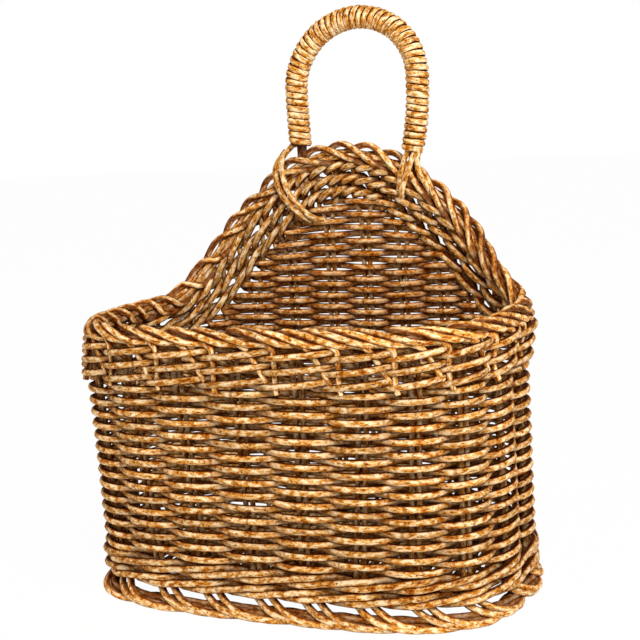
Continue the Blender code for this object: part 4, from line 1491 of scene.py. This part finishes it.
class BASKET_OT_bottom_wale(bpy.types.Operator):
    """Weave the two thick rows round the bottom"""
    bl_idname = "basket.bottom_wale"
    bl_label = "Bottom Wale"

    def execute(self, context):
        make_rods(rows_of_bottom_wale(), "rattan_weaver_varnished", ["bottom_wale"])
        return {"FINISHED"}


class BASKET_OT_side_weave(bpy.types.Operator):
    """Weave the rows of the wall"""
    bl_idname = "basket.side_weave"
    bl_label = "Side Weave"

    def execute(self, context):
        make_rods(rows_of_side_weave(), "rattan_weaver_varnished", ["side_weave"])
        return {"FINISHED"}


class BASKET_OT_back_weave(bpy.types.Operator):
    """Weave the short rows of the raised back"""
    bl_idname = "basket.back_weave"
    bl_label = "Back Weave"

    def execute(self, context):
        make_rods(rows_of_back_weave(), "rattan_back_weaver_varnished", ["back_weave"])
        return {"FINISHED"}


class BASKET_OT_top_wale(bpy.types.Operator):
    """Weave the twisted rows under the rim"""
    bl_idname = "basket.top_wale"
    bl_label = "Top Wale"

    def execute(self, context):
        make_rods(rows_of_top_wale(), "rattan_weaver_varnished", ["top_wale"])
        return {"FINISHED"}


class BASKET_OT_border(bpy.types.Operator):
    """Roll the rods round the rim"""
    bl_idname = "basket.border"
    bl_label = "Rim Border"

    def execute(self, context):
        make_rods(rods_of_border(), "rattan_border_varnished", ["rim_border"])
        return {"FINISHED"}


class BASKET_OT_stakes(bpy.types.Operator):
    """Set the pairs of stakes"""
    bl_idname = "basket.stakes"
    bl_label = "Stakes"

    def execute(self, context):
        nodes = ["%s_%02d" % (name, k + 1) for name in ("stake", "by_stake") for k in range(PAIR_COUNT)]
        make_rods(rods_of_stakes(), "rattan_stake_varnished", nodes)
        return {"FINISHED"}


class BASKET_OT_base(bpy.types.Operator):
    """Weave the floor of the pocket"""
    bl_idname = "basket.base"
    bl_label = "Woven Base"

    def execute(self, context):
        nodes = ["base_weave"] + ["base_stick_%d" % (k + 1) for k in range(len(BASE_STICK_SHARES))]
        make_rods(rods_of_base(), "rattan_base_varnished", nodes)
        return {"FINISHED"}


class BASKET_OT_handle(bpy.types.Operator):
    """Bend the core rods into the hoop and wind the strand round them"""
    bl_idname = "basket.handle"
    bl_label = "Hoop Handle"

    def execute(self, context):
        nodes = ["handle_rod_%d" % (k + 1) for k in range(4)]
        make_rods(rods_of_handle_core(), "rattan_handle_core_varnished", nodes, sides=10)
        make_rods(strand_of_wrap(), "rattan_strand_varnished", ["handle_wrap"], sides=12,
                  flatness=WRAP_THICKNESS_SHARE, uneven=WRAP_UNEVENNESS)
        return {"FINISHED"}


PIECES = (BASKET_OT_foot, BASKET_OT_bottom_wale, BASKET_OT_side_weave, BASKET_OT_back_weave,
          BASKET_OT_top_wale, BASKET_OT_border, BASKET_OT_stakes, BASKET_OT_base, BASKET_OT_handle)


class BASKET_PT_panel(bpy.types.Panel):
    """Lists the pieces of the basket in the order of making"""
    bl_idname = "BASKET_PT_panel"
    bl_label = "Woven Wall Basket"
    bl_space_type = "VIEW_3D"
    bl_region_type = "UI"
    bl_category = "Basket"

    def draw(self, context):
        layout = self.layout
        for settings in (context.scene.basket_rods, context.scene.basket_finish, context.scene.basket_stage):
            column = layout.column(align=True)
            for name in settings.__annotations__:
                column.prop(settings, name)
        for piece in (BASKET_OT_stage,) + PIECES:
            layout.operator(piece.bl_idname)


CLASSES = (BasketRods, BasketFinish, BasketStage, BASKET_OT_stage) + PIECES + (BASKET_PT_panel,)


def register():
    for item in CLASSES:
        bpy.utils.register_class(item)
    bpy.types.Scene.basket_rods = PointerProperty(type=BasketRods)
    bpy.types.Scene.basket_finish = PointerProperty(type=BasketFinish)
    bpy.types.Scene.basket_stage = PointerProperty(type=BasketStage)


def unregister():
    del bpy.types.Scene.basket_stage
    del bpy.types.Scene.basket_finish
    del bpy.types.Scene.basket_rods
    for item in reversed(CLASSES):
        bpy.utils.unregister_class(item)


def main():
    register()
    bpy.ops.basket.stage()
    bpy.ops.basket.foot()
    bpy.ops.basket.bottom_wale()
    bpy.ops.basket.side_weave()
    bpy.ops.basket.back_weave()
    bpy.ops.basket.top_wale()
    bpy.ops.basket.border()
    bpy.ops.basket.stakes()
    bpy.ops.basket.base()
    bpy.ops.basket.handle()


if __name__ == "__main__":
    main()
